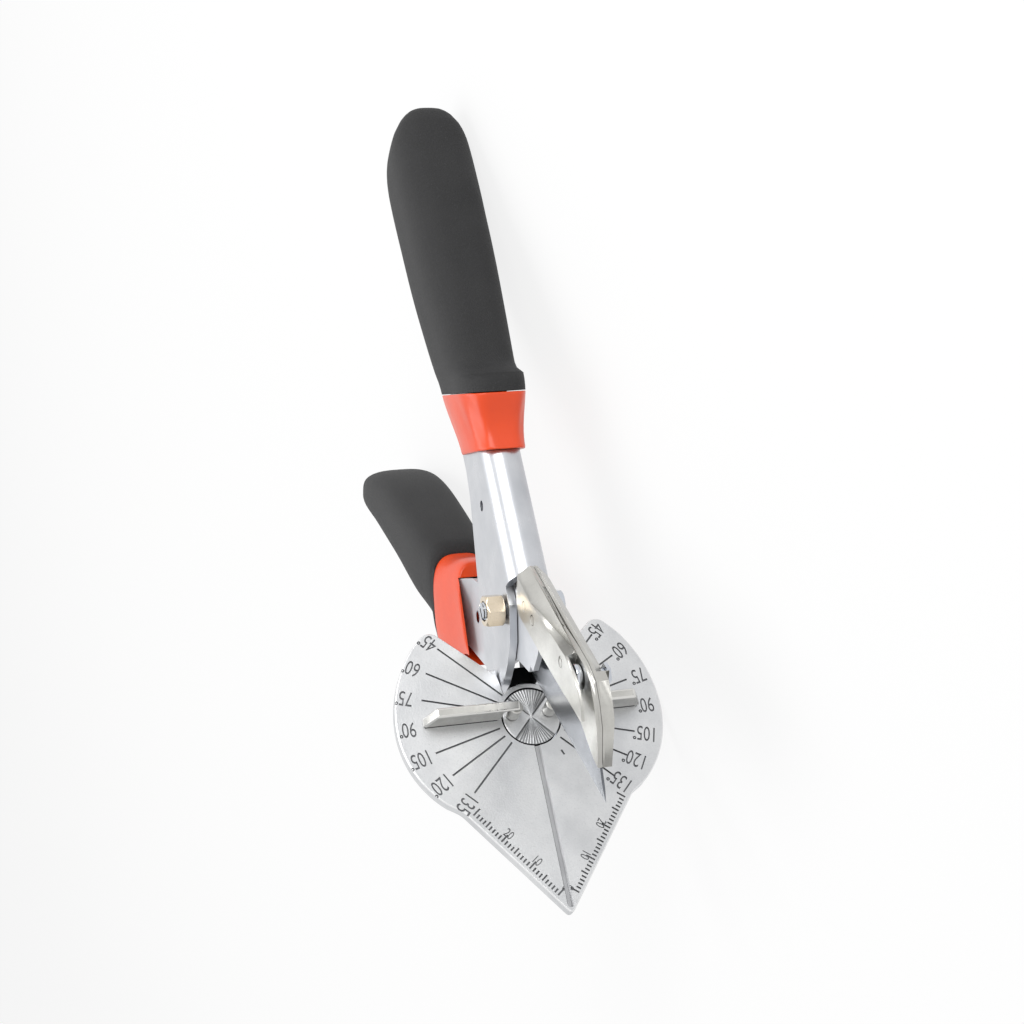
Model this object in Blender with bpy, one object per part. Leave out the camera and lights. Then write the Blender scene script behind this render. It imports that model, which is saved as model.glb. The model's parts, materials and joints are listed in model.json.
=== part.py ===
"""Mitre shears: a fixed handle with an angle plate, a blade lever on one pivot bolt, and a fence turntable.

Lengths are in metres. The pieces are drawn in the tool's own frame: X across the blade, Y back to the
handles, Z up out of the angle plate, with the centre of the turntable at zero. The lever is drawn shut and
then opened about the pivot. Last, the whole tool is laid on its side on the floor.
"""

import math

import bmesh
import bpy
import numpy as np
from mathutils import Matrix, Vector
from mathutils.bvhtree import BVHTree

# Fits that all pieces share
CLEAR = 0.0003
OVERRUN = 0.004
ROUND_STEPS = 32
HOLE_STEPS = 16
CORNER_STEPS = 5

# Pivot of the two handles
OPEN_ANGLE = math.radians(36.25)
PIVOT_BACK = 0.0256
PIVOT_RISE = 0.01476
PIVOT_RADIUS = 0.0025

# Angle plate
PLATE_THICK = 0.0035
PLATE_RADIUS = 0.0373
PLATE_TIP_REACH = 0.0549
PLATE_TIP_ROUND = 0.0011
PLATE_WAIST_HALF = 0.0236
PLATE_WAIST_FRONT = 0.0243
PLATE_WAIST_ROUND = 0.007
LOBE_FIRST_ANGLE = math.radians(-39)
LOBE_FALL_SHARE = 0.10
LOBE_LAST_ANGLE = math.radians(49.5)
LOBE_ROUND = 0.003
LOBE_STEPS = 22
REAR_CORNER_ROUND = 0.0035
NOTCH_HALF = 0.0072
NOTCH_BACK = 0.0127
RING_RADIUS = 0.0098
RING_LAST_ANGLE = math.radians(50)
RING_STEPS = 8
PLATE_HOLE_GAP = 0.0004
PLATE_LEDGE = 0.0019
PLATE_RECESS_RADIUS = 0.0092
LINE_WIDTH = 0.0005
LINE_DEPTH = 0.0004
LINE_INNER_RADIUS = 0.0096
LINE_FIRST_RADIUS = 0.0315
LINE_LAST_RADIUS = 0.0277
LINE_ANGLES = [math.radians(45 + 15 * step) for step in range(7)]
GROOVE_HALF = 0.00075
GROOVE_FRONT_GAP = 0.0024

# Lugs under the plate, with the block and rivets that hold the handle
LUG_THICK = 0.0025
LUG_FRONT = 0.0095
LUG_BACK = 0.0160
LUG_DROP = 0.0115
RIVET_RADIUS = 0.0016
RIVET_HEAD_RADIUS = 0.0024
RIVET_HEAD_THICK = 0.0010
RIVET_PLACE_SHARES = ((0.55, 0.26), (0.55, 0.74))

# Turntable
DISC_RADIUS = 0.0080
DISC_STAND = 0.0002
HUB_RADIUS = 0.0030
WAVE_INNER_RADIUS = 0.0058
WAVE_OUTER_RADIUS = 0.0088
WAVE_THICK = 0.0004
RETAINER_RADIUS = 0.0089
RETAINER_THICK = 0.0010
SCREW_RADIUS = 0.0015
SCREW_LENGTH = 0.0035
SCREW_HEAD_RADIUS = 0.0036
SCREW_HEAD_THICK = 0.0016

# Fence
FENCE_THICK = 0.0028
FENCE_FRONT = 0.0003
FENCE_HEIGHT = 0.0070
FENCE_SHELF = 0.0013
FENCE_TOP_REACH = 0.0274
FENCE_FOOT_REACH = 0.0302
FENCE_LEG_REACH = 0.0086
FENCE_SHELF_REACH = 0.0044
POST_RADIUS = 0.00185
POST_PLACE = 0.00515

# Upper handle channel
CHANNEL_HALF = 0.0059
CHANNEL_SHEET = 0.0021
CHANNEL_SEAM = 0.0215
CHANNEL_END = 0.1500
CHANNEL_LOW = 0.0065
WALL_FRONT = 0.0102
WALL_DROP = 0.0150
WEB_FRONT = 0.0300
HANG_HOLE_RADIUS = 0.00155
HANG_HOLE_BACK = 0.0577
HANG_HOLE_RISE = 0.0143

# Pivot hardware along X
HEAD_THICK = 0.0033
HEAD_FLAT_HALF = 0.0040
NUT_THICK = 0.0044
BOLT_END = 0.0017
WASHER_THICK = 0.0006
WASHER_RADIUS = 0.0049

# Lever cheeks
CHEEK_INNER = 0.0020
CHEEK_THICK = 0.0015
LEVER_END = 0.1450
LEVER_TOP_FALL = 0.0065
LEVER_LOW_FALL = 0.0212
LEVER_BELLY_FALL = 0.0150
LEVER_WEB = 0.0022
LEVER_FLARE_START = 0.0650
LEVER_FLARE_END = 0.0715
HEX_FLAT_HALF = 0.0045

# Blade, a trapezoid from tail to tip
BLADE_THICK = 0.00065
BLADE_LENGTH = 0.0613
BLADE_WIDTH = 0.0190
BLADE_SLOPE = 0.0151
BLADE_TIP_REACH = 0.0717
BLADE_REST_GAP = 0.0003

# Blade holder and its clamp
HOLDER_HALF = 0.0044
HOLDER_REACH = 0.0673
HOLDER_HEIGHT = 0.0300
HOLDER_LOW_LEFT = 0.0171
HOLDER_LOW_RIGHT = 0.0120
NOSE_LEFT = 0.0015
NOSE_RIGHT = 0.0033
FINGER_THICK = 0.0008
FINGER_LOW = 0.0173
RIDGE_LEFT = 0.0015
RIDGE_RIGHT = 0.0010
CLAMP_HEIGHT = 0.0232
CLAMP_RADIUS = 0.0015
CLAMP_HEAD_RADIUS = 0.0034
CLAMP_HEAD_THICK = 0.0015
CLAMP_NUT_THICK = 0.0010
CLAMP_NUT_FLAT_HALF = 0.0025
HOLDER_PIN_RADIUS = 0.0012

# Holder lines as shares of its reach and height, and of its half width for the bevels' fall
HOLDER_TOP_SHARES = (
    (1.000, 0.247),
    (0.966, 0.573),
    (0.921, 0.727),
    (0.862, 0.863),
    (0.773, 0.920),
    (0.713, 0.927),
    (0.073, 1.000),
    (0.067, 0.833),
    (0.065, 0.750),
    (0.115, 0.593),
)
HOLDER_NOSE_SHARES = ((0.758, 0.440), (0.921, 0.313))
FINGER_SHARES = (
    (0.915, 0.577),
    (0.926, 0.593),
    (0.903, 0.700),
    (0.859, 0.790),
    (0.805, 0.853),
    (0.698, 0.897),
)
LEFT_BEVEL_SHARES = ((0.000, 1.008, 0.52), (0.713, 0.927, 0.18))
RIGHT_BEVEL_SHARES = ((0.000, 1.008, 0.82), (0.713, 0.927, 0.82), (0.773, 0.920, 0.82), (0.817, 0.893, 0.82))
NOSE_TAPER_SHARE = 0.95
NOSE_TIP_SHARE = 0.75
HOLDER_REAR_SHARE = 0.78
POCKET_TOP_SHARE = 0.83
POCKET_REACH_SHARE = 1.26
FINGER_START_SHARE = 0.698
FINGER_LOW_SHARE = 0.728
FINGER_END_SHARE = 0.933
NOSE_LOW_SHARE = 0.744
NOSE_START_SHARE = 0.817
CLAMP_REACH_SHARE = 0.758

# Grips and collars
GRIP_WIDTH = 0.0200
GRIP_DEPTH = 0.0285
GRIP_START = 0.0930
GRIP_LENGTH = 0.0996
GRIP_RISE = 0.0163
THUMB_STOP = 0.0048
LOWER_GRIP_DEPTH = 0.0262
LOWER_GRIP_START = 0.0858
LOWER_GRIP_LENGTH = 0.1000
LOWER_GRIP_FALL = 0.0163
COLLAR_WALL = 0.0009
UPPER_COLLAR_WALL = 0.0014
COLLAR_FRONT = 0.0732
LOWER_COLLAR_FRONT = 0.0625
LOWER_COLLAR_LEAN = 0.90
SECTION_STEPS = 36
GRIP_SQUARENESS = 3.2

PIVOT = Vector((0, PIVOT_BACK, PIVOT_RISE))
DISC_LOW = -PLATE_LEDGE - DISC_STAND
FINGER_INNER = HOLDER_HALF - FINGER_THICK
FINGER_START = HOLDER_REACH * FINGER_START_SHARE
FINGER_LOW_START = HOLDER_REACH * FINGER_LOW_SHARE
FINGER_END = HOLDER_REACH * FINGER_END_SHARE
NOSE_LOW_REACH = HOLDER_REACH * NOSE_LOW_SHARE
NOSE_START = HOLDER_REACH * NOSE_START_SHARE
CLAMP_REACH = HOLDER_REACH * CLAMP_REACH_SHARE
CHEEK_OUTER = CHEEK_INNER + CHEEK_THICK
CHANNEL_INNER = CHANNEL_HALF - CHANNEL_SHEET


def clear_scene():
    """Removes every object that the scene starts with."""
    for obj in list(bpy.data.objects):
        bpy.data.objects.remove(obj, do_unlink=True)


def make_material(name, color, roughness, metallic):
    """A plain Principled finish."""
    material = bpy.data.materials.new(name)
    material.use_nodes = True
    shader = material.node_tree.nodes["Principled BSDF"]
    shader.inputs["Base Color"].default_value = (*color, 1)
    shader.inputs["Roughness"].default_value = roughness
    shader.inputs["Metallic"].default_value = metallic
    return material


def make_empty(name, parent=None):
    """An empty that carries the pieces of one body."""
    empty = bpy.data.objects.new(name, None)
    bpy.context.scene.collection.objects.link(empty)
    empty.parent = parent
    return empty


def link_mesh(name, bm, parent):
    """Turns a bmesh into an object, with its mesh drawn from its parent's own place."""
    bmesh.ops.remove_doubles(bm, verts=bm.verts, dist=CLEAR / HOLE_STEPS / HOLE_STEPS)
    bmesh.ops.recalc_face_normals(bm, faces=bm.faces)
    mesh = bpy.data.meshes.new(name)
    bm.to_mesh(mesh)
    bm.free()
    mesh.transform(Matrix.Translation(-parent.location))
    obj = bpy.data.objects.new(name, mesh)
    bpy.context.scene.collection.objects.link(obj)
    obj.parent = parent
    return obj


def make_piece(name, bm, material, body, finish):
    """A visible piece with its finish."""
    obj = link_mesh(name, bm, body)
    obj.data.materials.append(finish[material])
    obj.data.shade_smooth()
    obj.data.set_sharp_from_angle(angle=math.radians(35))
    return obj


def combine(obj, bm, operation="DIFFERENCE"):
    """Cuts, joins or keeps a hidden helper shape with a live Boolean, and returns the helper."""
    helper = link_mesh(f"{obj.name}_{operation.lower()}_{len(obj.modifiers)}", bm, obj.parent)
    helper.hide_render = True
    helper.display_type = "WIRE"
    modifier = obj.modifiers.new(helper.name, "BOOLEAN")
    modifier.operation = operation
    modifier.object = helper
    return helper


def prism(outline, axis, low, high):
    """An outline pushed along X, Y or Z, from low to high. It is drawn in the other two axes, in order."""
    bm = bmesh.new()
    along = "XYZ".index(axis)
    verts = []
    for first, second in outline:
        place = [first, second]
        place.insert(along, low)
        verts.append(bm.verts.new(place))
    face = bm.faces.new(verts)
    pushed = bmesh.ops.extrude_face_region(bm, geom=[face])
    moved = [item for item in pushed["geom"] if isinstance(item, bmesh.types.BMVert)]
    step = Vector((0, 0, 0))
    step[along] = high - low
    bmesh.ops.translate(bm, verts=moved, vec=step)
    return bm


def join_meshes(*parts):
    """One bmesh that holds all the parts as separate shells."""
    whole = parts[0]
    for part in parts[1:]:
        mesh = bpy.data.meshes.new("joined")
        bmesh.ops.recalc_face_normals(part, faces=part.faces)
        part.to_mesh(mesh)
        part.free()
        whole.from_mesh(mesh)
        bpy.data.meshes.remove(mesh)
    return whole


def ring_points(radius, steps, centre=(0, 0), start=0.0):
    """Points of a circle round a centre."""
    turn = [start + math.tau * step / steps for step in range(steps)]
    return [(centre[0] + radius * math.cos(a), centre[1] + radius * math.sin(a)) for a in turn]


def rod(radius, axis, low, high, centre=(0, 0), steps=HOLE_STEPS, start=0.0):
    """A round or many-sided bar."""
    return prism(ring_points(radius, steps, centre, start), axis, low, high)


def hexagon(flat_half, axis, low, high, centre=(0, 0)):
    """A six-sided bar, by the half of its width across the flats."""
    return rod(flat_half / math.cos(math.pi / 6), axis, low, high, centre, 6)


def turned(profile, axis, centre=(0, 0), steps=ROUND_STEPS):
    """A profile of (radius, place) points spun once round an axis."""
    along = "XYZ".index(axis)
    spin_axis = Vector((0, 0, 0))
    spin_axis[along] = 1
    middle = list(centre)
    middle.insert(along, 0)
    bm = bmesh.new()
    verts = []
    for radius, place in profile:
        spot = [centre[0] + radius, centre[1]]
        spot.insert(along, place)
        verts.append(bm.verts.new(spot))
    edges = [bm.edges.new((verts[i - 1], verts[i])) for i in range(len(verts))]
    bmesh.ops.spin(
        bm, geom=verts + edges, cent=middle, axis=spin_axis, angle=math.tau, steps=steps, use_merge=True
    )
    return bm


def rounded(corners):
    """An outline whose (x, y, radius) corners are filleted."""
    points = []
    for index, (x, y, radius) in enumerate(corners):
        here = Vector((x, y))
        if radius == 0:
            points.append((x, y))
            continue
        before = (Vector(corners[index - 1][:2]) - here).normalized()
        after = (Vector(corners[(index + 1) % len(corners)][:2]) - here).normalized()
        half = before.angle(after) / 2
        reach = radius / math.tan(half)
        centre = here + (before + after).normalized() * radius / math.sin(half)
        start = here + before * reach - centre
        turn = math.pi - 2 * half
        side = math.copysign(1, start.x * (after.y - before.y) - start.y * (after.x - before.x))
        for step in range(CORNER_STEPS + 1):
            spoke = start.copy()
            spoke.rotate(Matrix.Rotation(side * turn * step / CORNER_STEPS, 2))
            points.append(tuple(centre + spoke))
    return points


def mirrored(half):
    """A closed outline from its right half, listed from front to back."""
    return half + [(-x, y) for x, y in reversed(half) if x > CLEAR / HOLE_STEPS]


def mirrored_corners(half):
    """The same for corners with a radius."""
    return half + [(-x, y, radius) for x, y, radius in reversed(half) if x > CLEAR / HOLE_STEPS]


def plate_outline():
    """The heart-shaped plate, with its notch at the back."""
    half = [(0, -PLATE_TIP_REACH, PLATE_TIP_ROUND)]
    half.append((PLATE_WAIST_HALF, -PLATE_WAIST_FRONT, PLATE_WAIST_ROUND))
    span = LOBE_LAST_ANGLE - LOBE_FIRST_ANGLE
    for step in range(LOBE_STEPS + 1):
        angle = LOBE_FIRST_ANGLE + span * step / LOBE_STEPS
        last = step == LOBE_STEPS
        corner = REAR_CORNER_ROUND if last else LOBE_ROUND if step == 0 else 0
        if not last and step > LOBE_STEPS - 3:
            continue
        radius = PLATE_RADIUS * (1 - LOBE_FALL_SHARE * min(0, angle / LOBE_LAST_ANGLE) ** 2)
        half.append((radius * math.cos(angle), radius * math.sin(angle), corner))
    half.append((NOTCH_HALF, NOTCH_BACK, 0))
    for step in range(RING_STEPS + 1):
        angle = RING_LAST_ANGLE + (math.pi / 2 - RING_LAST_ANGLE) * step / RING_STEPS
        half.append((RING_RADIUS * math.cos(angle), RING_RADIUS * math.sin(angle), 0))
    return rounded(mirrored_corners(half))


def line_reach(index):
    """Outer end of one angle line, shorter from line to line."""
    return LINE_FIRST_RADIUS + (LINE_LAST_RADIUS - LINE_FIRST_RADIUS) * index / (len(LINE_ANGLES) - 1)


def engraved_line(start, end):
    """A thin bar sunk in the plate's top from one point to another."""
    ahead = (Vector(end) - Vector(start)).normalized()
    side = Vector((-ahead.y, ahead.x)) * LINE_WIDTH / 2
    ends = [Vector(start) - side, Vector(end) - side, Vector(end) + side, Vector(start) + side]
    return prism([tuple(point) for point in ends], "Z", -LINE_DEPTH, OVERRUN)


def plate_engraving():
    """All the angle lines and the double centre groove."""
    lines = []
    for side in (-1, 1):
        for index, angle in enumerate(LINE_ANGLES):
            ray = Vector((side * math.sin(angle), math.cos(angle)))
            lines.append(engraved_line(ray * LINE_INNER_RADIUS, ray * line_reach(index)))
        front = (side * GROOVE_HALF, -PLATE_TIP_REACH + GROOVE_FRONT_GAP + PLATE_TIP_ROUND)
        lines.append(engraved_line((side * GROOVE_HALF, -LINE_INNER_RADIUS), front))
    return join_meshes(*lines)


def lug_places():
    """Y and Z of the two rivets."""
    depth = LUG_BACK - LUG_FRONT
    return [
        (LUG_FRONT + depth * back, -PLATE_THICK - LUG_DROP * down) for back, down in RIVET_PLACE_SHARES
    ]


def rivet_holes(low, high, extra):
    """Cutters for the two rivets."""
    return join_meshes(*[rod(RIVET_RADIUS + extra, "X", low, high, place) for place in lug_places()])


def build_plate(body, finish):
    """The cast plate with its lugs."""
    plate = make_piece("base_plate", prism(plate_outline(), "Z", -PLATE_THICK, 0), "cast_plate", body, finish)
    inside = CHANNEL_HALF + CLEAR
    low = -PLATE_THICK - LUG_DROP
    box = [(LUG_FRONT, low), (LUG_BACK, low), (LUG_BACK, CLEAR - PLATE_THICK), (LUG_FRONT, CLEAR - PLATE_THICK)]
    for side in (-1, 1):
        ends = sorted((side * inside, side * (inside + LUG_THICK)))
        combine(plate, prism(box, "X", *ends), "UNION")
    combine(plate, rod(DISC_RADIUS + PLATE_HOLE_GAP, "Z", -PLATE_THICK - OVERRUN, OVERRUN, steps=ROUND_STEPS))
    combine(plate, rod(PLATE_RECESS_RADIUS, "Z", -PLATE_THICK - OVERRUN, -PLATE_LEDGE, steps=ROUND_STEPS))
    combine(plate, plate_engraving())
    reach = inside + LUG_THICK + OVERRUN
    combine(plate, rivet_holes(-reach, reach, CLEAR))


def build_plate_fixing(body, finish):
    """The block between the channel walls, and the rivets through it."""
    half = CHANNEL_INNER - CLEAR
    low = -PLATE_THICK - LUG_DROP + CLEAR
    high = -PLATE_THICK - CLEAR
    front = WALL_FRONT + CLEAR
    box = [(front, low), (LUG_BACK, low), (LUG_BACK, high), (front, high)]
    spacer = make_piece("base_spacer", prism(box, "X", -half, half), "plated_steel", body, finish)
    combine(spacer, rivet_holes(-half - OVERRUN, half + OVERRUN, CLEAR))
    reach = CHANNEL_HALF + CLEAR + LUG_THICK + CLEAR
    ends = reach + RIVET_HEAD_THICK
    for name, place in zip(("base_rivet_upper", "base_rivet_lower"), lug_places()):
        profile = [(0, -ends), (RIVET_HEAD_RADIUS, -ends), (RIVET_HEAD_RADIUS, -reach), (RIVET_RADIUS, -reach)]
        profile += [(radius, -spot) for radius, spot in reversed(profile)]
        make_piece(name, turned(profile, "X", place, HOLE_STEPS), "plated_steel", body, finish)


def wall_outline():
    """Side view of the channel: nose by the plate, pivot region, and the straight back part."""
    foot = -WALL_DROP
    nose = WALL_FRONT
    return [
        (nose, foot),
        (nose + LUG_BACK - LUG_FRONT, foot),
        (WEB_FRONT, foot * 2 / 3),
        (HANG_HOLE_BACK - HANG_HOLE_RISE * 2 / 3, -CHANNEL_LOW * 2 / 5),
        (HANG_HOLE_BACK + CHANNEL_INNER * 2, CHANNEL_LOW * 3 / 4),
        (COLLAR_FRONT, CHANNEL_LOW),
        (CHANNEL_END, CHANNEL_LOW),
        (CHANNEL_END, CHANNEL_SEAM + CHANNEL_HALF),
        (WEB_FRONT, CHANNEL_SEAM + CHANNEL_HALF),
        (WEB_FRONT - CLEAR * 2, CHANNEL_SEAM - CLEAR * 3),
        (PIVOT_BACK - CHEEK_THICK, CHANNEL_SEAM - CLEAR * 3),
        (nose + CHANNEL_HALF, PIVOT_RISE - CLEAR * 2),
        (nose + CHANNEL_SHEET, PIVOT_RISE / 2),
        (nose, 0),
    ]


def arch(half, seam, low):
    """Cross-section with a full round top."""
    points = [(half, low)]
    for step in range(HOLE_STEPS + 1):
        angle = math.pi * step / HOLE_STEPS
        points.append((half * math.cos(angle), seam + half * math.sin(angle)))
    points.append((-half, low))
    return points


def build_upper_handle(body, finish):
    """The folded channel with its round back."""
    outline = prism(wall_outline(), "X", -CHANNEL_HALF, CHANNEL_HALF)
    handle = make_piece("upper_handle", outline, "plated_steel", body, finish)
    low = -WALL_DROP - OVERRUN
    outer = arch(CHANNEL_HALF, CHANNEL_SEAM, low)
    combine(handle, prism(outer, "Y", 0, CHANNEL_END + OVERRUN), "INTERSECT")
    inner = arch(CHANNEL_INNER, CHANNEL_SEAM, low - OVERRUN)
    combine(handle, prism(inner, "Y", -OVERRUN, CHANNEL_END + OVERRUN * 2))
    reach = CHANNEL_HALF + OVERRUN
    combine(handle, rod(PIVOT_RADIUS + CLEAR, "X", -reach, reach, (PIVOT_BACK, PIVOT_RISE)))
    combine(handle, rod(HANG_HOLE_RADIUS, "X", -reach, reach, (HANG_HOLE_BACK, HANG_HOLE_RISE)))
    combine(handle, rivet_holes(-reach, reach, CLEAR))


def build_pivot(body, finish):
    """Bolt, nut and washer on the pivot axis."""
    centre = (PIVOT_BACK, PIVOT_RISE)
    wall = CHANNEL_HALF + CLEAR
    seat = wall + WASHER_THICK + CLEAR
    nut_end = wall + NUT_THICK
    bolt = make_piece(
        "pivot_bolt", hexagon(HEAD_FLAT_HALF, "X", seat, seat + HEAD_THICK, centre), "plated_steel", body, finish
    )
    shank = rod(PIVOT_RADIUS, "X", -nut_end - BOLT_END, seat + CLEAR, centre)
    combine(bolt, shank, "UNION")
    slot = LINE_WIDTH
    end = -nut_end - BOLT_END
    groove = [(PIVOT_BACK - OVERRUN, PIVOT_RISE - slot), (PIVOT_BACK + OVERRUN, PIVOT_RISE - slot)]
    groove += [(PIVOT_BACK + OVERRUN, PIVOT_RISE + slot), (PIVOT_BACK - OVERRUN, PIVOT_RISE + slot)]
    combine(bolt, prism(groove, "X", end - OVERRUN, end + LINE_DEPTH * 2))
    nut = make_piece("pivot_nut", hexagon(HEAD_FLAT_HALF, "X", -nut_end, -wall, centre), "nickel", body, finish)
    combine(nut, rod(PIVOT_RADIUS + CLEAR, "X", -nut_end - OVERRUN, OVERRUN - wall, centre))
    ring = washer_profile(PIVOT_RADIUS + CLEAR, WASHER_RADIUS, wall, wall + WASHER_THICK)
    make_piece("pivot_washer", turned(ring, "X", centre), "plated_steel", body, finish)


def washer_profile(inner, outer, low, high):
    """Square profile of a flat ring."""
    return [(inner, low), (outer, low), (outer, high), (inner, high)]


def build_turntable(body, finish):
    """Disc, friction washer, retainer and screw."""
    hub_low = DISC_LOW - CLEAR * 2 - WAVE_THICK
    disc = turned([(0, 0), (DISC_RADIUS, 0), (DISC_RADIUS, DISC_LOW), (HUB_RADIUS, DISC_LOW),
                   (HUB_RADIUS, hub_low), (0, hub_low)], "Z")
    disc_obj = make_piece("turntable_disc", disc, "cast_plate", body, finish)
    thread = rod(SCREW_RADIUS + CLEAR, "Z", hub_low - OVERRUN, hub_low + SCREW_LENGTH - SCREW_HEAD_THICK)
    combine(disc_obj, thread)
    top = DISC_LOW - CLEAR
    wave = washer_profile(WAVE_INNER_RADIUS, WAVE_OUTER_RADIUS, top - WAVE_THICK, top)
    make_piece("wave_washer", turned(wave, "Z"), "plated_steel", body, finish)
    top = hub_low - CLEAR
    low = top - RETAINER_THICK
    plate = washer_profile(SCREW_RADIUS + CLEAR, RETAINER_RADIUS, low, top)
    make_piece("turntable_retainer", turned(plate, "Z"), "plated_steel", body, finish)
    head_top = low - CLEAR
    head_low = head_top - SCREW_HEAD_THICK
    tip = hub_low + SCREW_LENGTH - SCREW_HEAD_THICK - CLEAR
    screw = turned([(0, tip), (SCREW_RADIUS, tip), (SCREW_RADIUS, head_top), (SCREW_HEAD_RADIUS, head_top),
                    (SCREW_HEAD_RADIUS, head_low), (0, head_low)], "Z", steps=HOLE_STEPS)
    screw_obj = make_piece("turntable_screw", screw, "plated_steel", body, finish)
    slot = [(-LINE_WIDTH, -DISC_RADIUS), (LINE_WIDTH, -DISC_RADIUS), (LINE_WIDTH, DISC_RADIUS),
            (-LINE_WIDTH, DISC_RADIUS)]
    combine(screw_obj, prism(slot, "Z", head_low - OVERRUN, head_low + LINE_DEPTH * 2))


def build_fence(body, finish):
    """Two arms that stand on posts over the disc."""
    shelf = FENCE_HEIGHT - FENCE_SHELF
    for name, side in (("fence_left", -1), ("fence_right", 1)):
        arm = [
            (FENCE_LEG_REACH, CLEAR),
            (FENCE_FOOT_REACH, CLEAR),
            (FENCE_TOP_REACH, FENCE_HEIGHT),
            (FENCE_SHELF_REACH, FENCE_HEIGHT),
            (FENCE_SHELF_REACH, shelf),
            (FENCE_LEG_REACH, shelf),
        ]
        outline = [(side * x, z) for x, z in arm]
        bm = prism(outline, "Y", -FENCE_FRONT, FENCE_THICK - FENCE_FRONT)
        make_piece(name, bm, "cast_fence", body, finish)
        post = rod(POST_RADIUS, "Z", CLEAR, shelf - CLEAR, (side * POST_PLACE, FENCE_THICK / 2 - FENCE_FRONT))
        make_piece(name.replace("fence", "fence_post"), post, "cast_fence", body, finish)


def lever_point(reach, height):
    """Side view point from its reach ahead of the pivot and its height over the edge, with the lever shut."""
    return (PIVOT_BACK - reach, height)


def cheek_outline():
    """Side view of the lever's steel cheeks from the holder back into the grip."""
    holder = HOLDER_HEIGHT
    top = -LEVER_TOP_FALL
    low = -LEVER_LOW_FALL
    flare = LEVER_FLARE_START
    ahead = [
        lever_point(BLADE_SLOPE * 0.55, FENCE_HEIGHT / 2),
        lever_point(BLADE_WIDTH * 0.94, FENCE_HEIGHT * 0.78),
        lever_point(BLADE_WIDTH * 0.975, FENCE_HEIGHT + CLEAR * 2),
        lever_point(BLADE_WIDTH * 1.11, FENCE_HEIGHT + CLEAR * 2),
        lever_point(BLADE_WIDTH * POCKET_REACH_SHARE, BLADE_SLOPE * 0.94),
        lever_point(BLADE_WIDTH * POCKET_REACH_SHARE, holder * POCKET_TOP_SHARE),
        lever_point(BLADE_SLOPE * 0.6, holder * POCKET_TOP_SHARE),
        lever_point(BLADE_SLOPE * 0.45, holder * 0.73),
        (PIVOT_BACK, PIVOT_RISE + HANG_HOLE_RADIUS * 4.3),
        (PIVOT_BACK + WASHER_RADIUS, PIVOT_RISE + WASHER_RADIUS),
    ]
    behind = [
        (PIVOT_BACK + BLADE_WIDTH, PIVOT_RISE * 0.61),
        (flare, FENCE_HEIGHT / 2),
        (LOWER_GRIP_START, top),
        (LEVER_END, top),
        (LEVER_END, low),
        (LOWER_GRIP_START, low),
        (flare + CHANNEL_HALF, low * 0.95),
        (PIVOT_BACK + BLADE_WIDTH, -LEVER_BELLY_FALL),
        (PIVOT_BACK + WASHER_RADIUS, -LEVER_BELLY_FALL * 0.2),
    ]
    return ahead + behind


def lever_plan(front, narrow, wide, back):
    """Plan of the lever: narrow between the channel walls, wider in the grip."""
    half = [(narrow, front), (narrow, LEVER_FLARE_START), (wide, LEVER_FLARE_END), (wide, back)]
    return mirrored(half)


def lever_hollow():
    """Side view of the space between the cheeks, over the web at the underside."""
    low = -LEVER_LOW_FALL
    top = HOLDER_HEIGHT + OVERRUN
    start = PIVOT_BACK + BLADE_WIDTH
    return [
        (PIVOT_BACK - BLADE_TIP_REACH, -OVERRUN),
        (start - WASHER_RADIUS, -LEVER_BELLY_FALL),
        (start, LEVER_WEB * 1.2 - LEVER_BELLY_FALL),
        (LEVER_FLARE_START + CHANNEL_HALF, low * 0.95 + LEVER_WEB),
        (LOWER_GRIP_START, low + LEVER_WEB),
        (LEVER_END + OVERRUN, low + LEVER_WEB),
        (LEVER_END + OVERRUN, top),
        (PIVOT_BACK - BLADE_TIP_REACH, top),
    ]


def build_lower_handle(body, finish):
    """The two cheeks and the channel behind them, as one pressed piece."""
    deep = GRIP_LENGTH
    front = PIVOT_BACK - BLADE_TIP_REACH
    outline = prism(cheek_outline(), "X", -CHANNEL_HALF - CLEAR, CHANNEL_HALF + CLEAR)
    handle = make_piece("lower_handle", outline, "plated_steel", body, finish)
    outside = lever_plan(front, CHEEK_OUTER, CHANNEL_HALF, LEVER_END + OVERRUN)
    combine(handle, prism(outside, "Z", -deep, deep), "INTERSECT")
    wide = CHANNEL_HALF + OVERRUN
    space = link_mesh("lever_space", prism(lever_hollow(), "X", -wide, wide), body)
    space.hide_render = True
    space.display_type = "WIRE"
    inside = lever_plan(front - OVERRUN, CHEEK_INNER, CHANNEL_INNER, LEVER_END + OVERRUN * 2)
    combine(space, prism(inside, "Z", -deep, deep), "INTERSECT")
    cut = handle.modifiers.new("lever_space", "BOOLEAN")
    cut.object = space
    reach = CHANNEL_HALF + OVERRUN
    combine(handle, rod(PIVOT_RADIUS + CLEAR, "X", -reach, reach, (PIVOT_BACK, PIVOT_RISE)))
    for place in holder_pins():
        combine(handle, rod(HOLDER_PIN_RADIUS + CLEAR, "X", -reach, reach, place))
    combine(handle, rod(RIVET_RADIUS + CLEAR, "X", -reach, reach, lower_rivet_place()))


def holder_pins():
    """Y and Z of the two pins that hold the holder on the cheeks."""
    return [
        lever_point(BLADE_SLOPE * 0.82, HOLDER_HEIGHT * 0.74),
        lever_point(BLADE_SLOPE * 1.32, HOLDER_HEIGHT * 0.74),
    ]


def lower_rivet_place():
    """Y and Z of the rivet behind the pivot."""
    return (LOWER_COLLAR_FRONT - RIVET_HEAD_RADIUS * 2, -FENCE_HEIGHT * 0.75)


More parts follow.
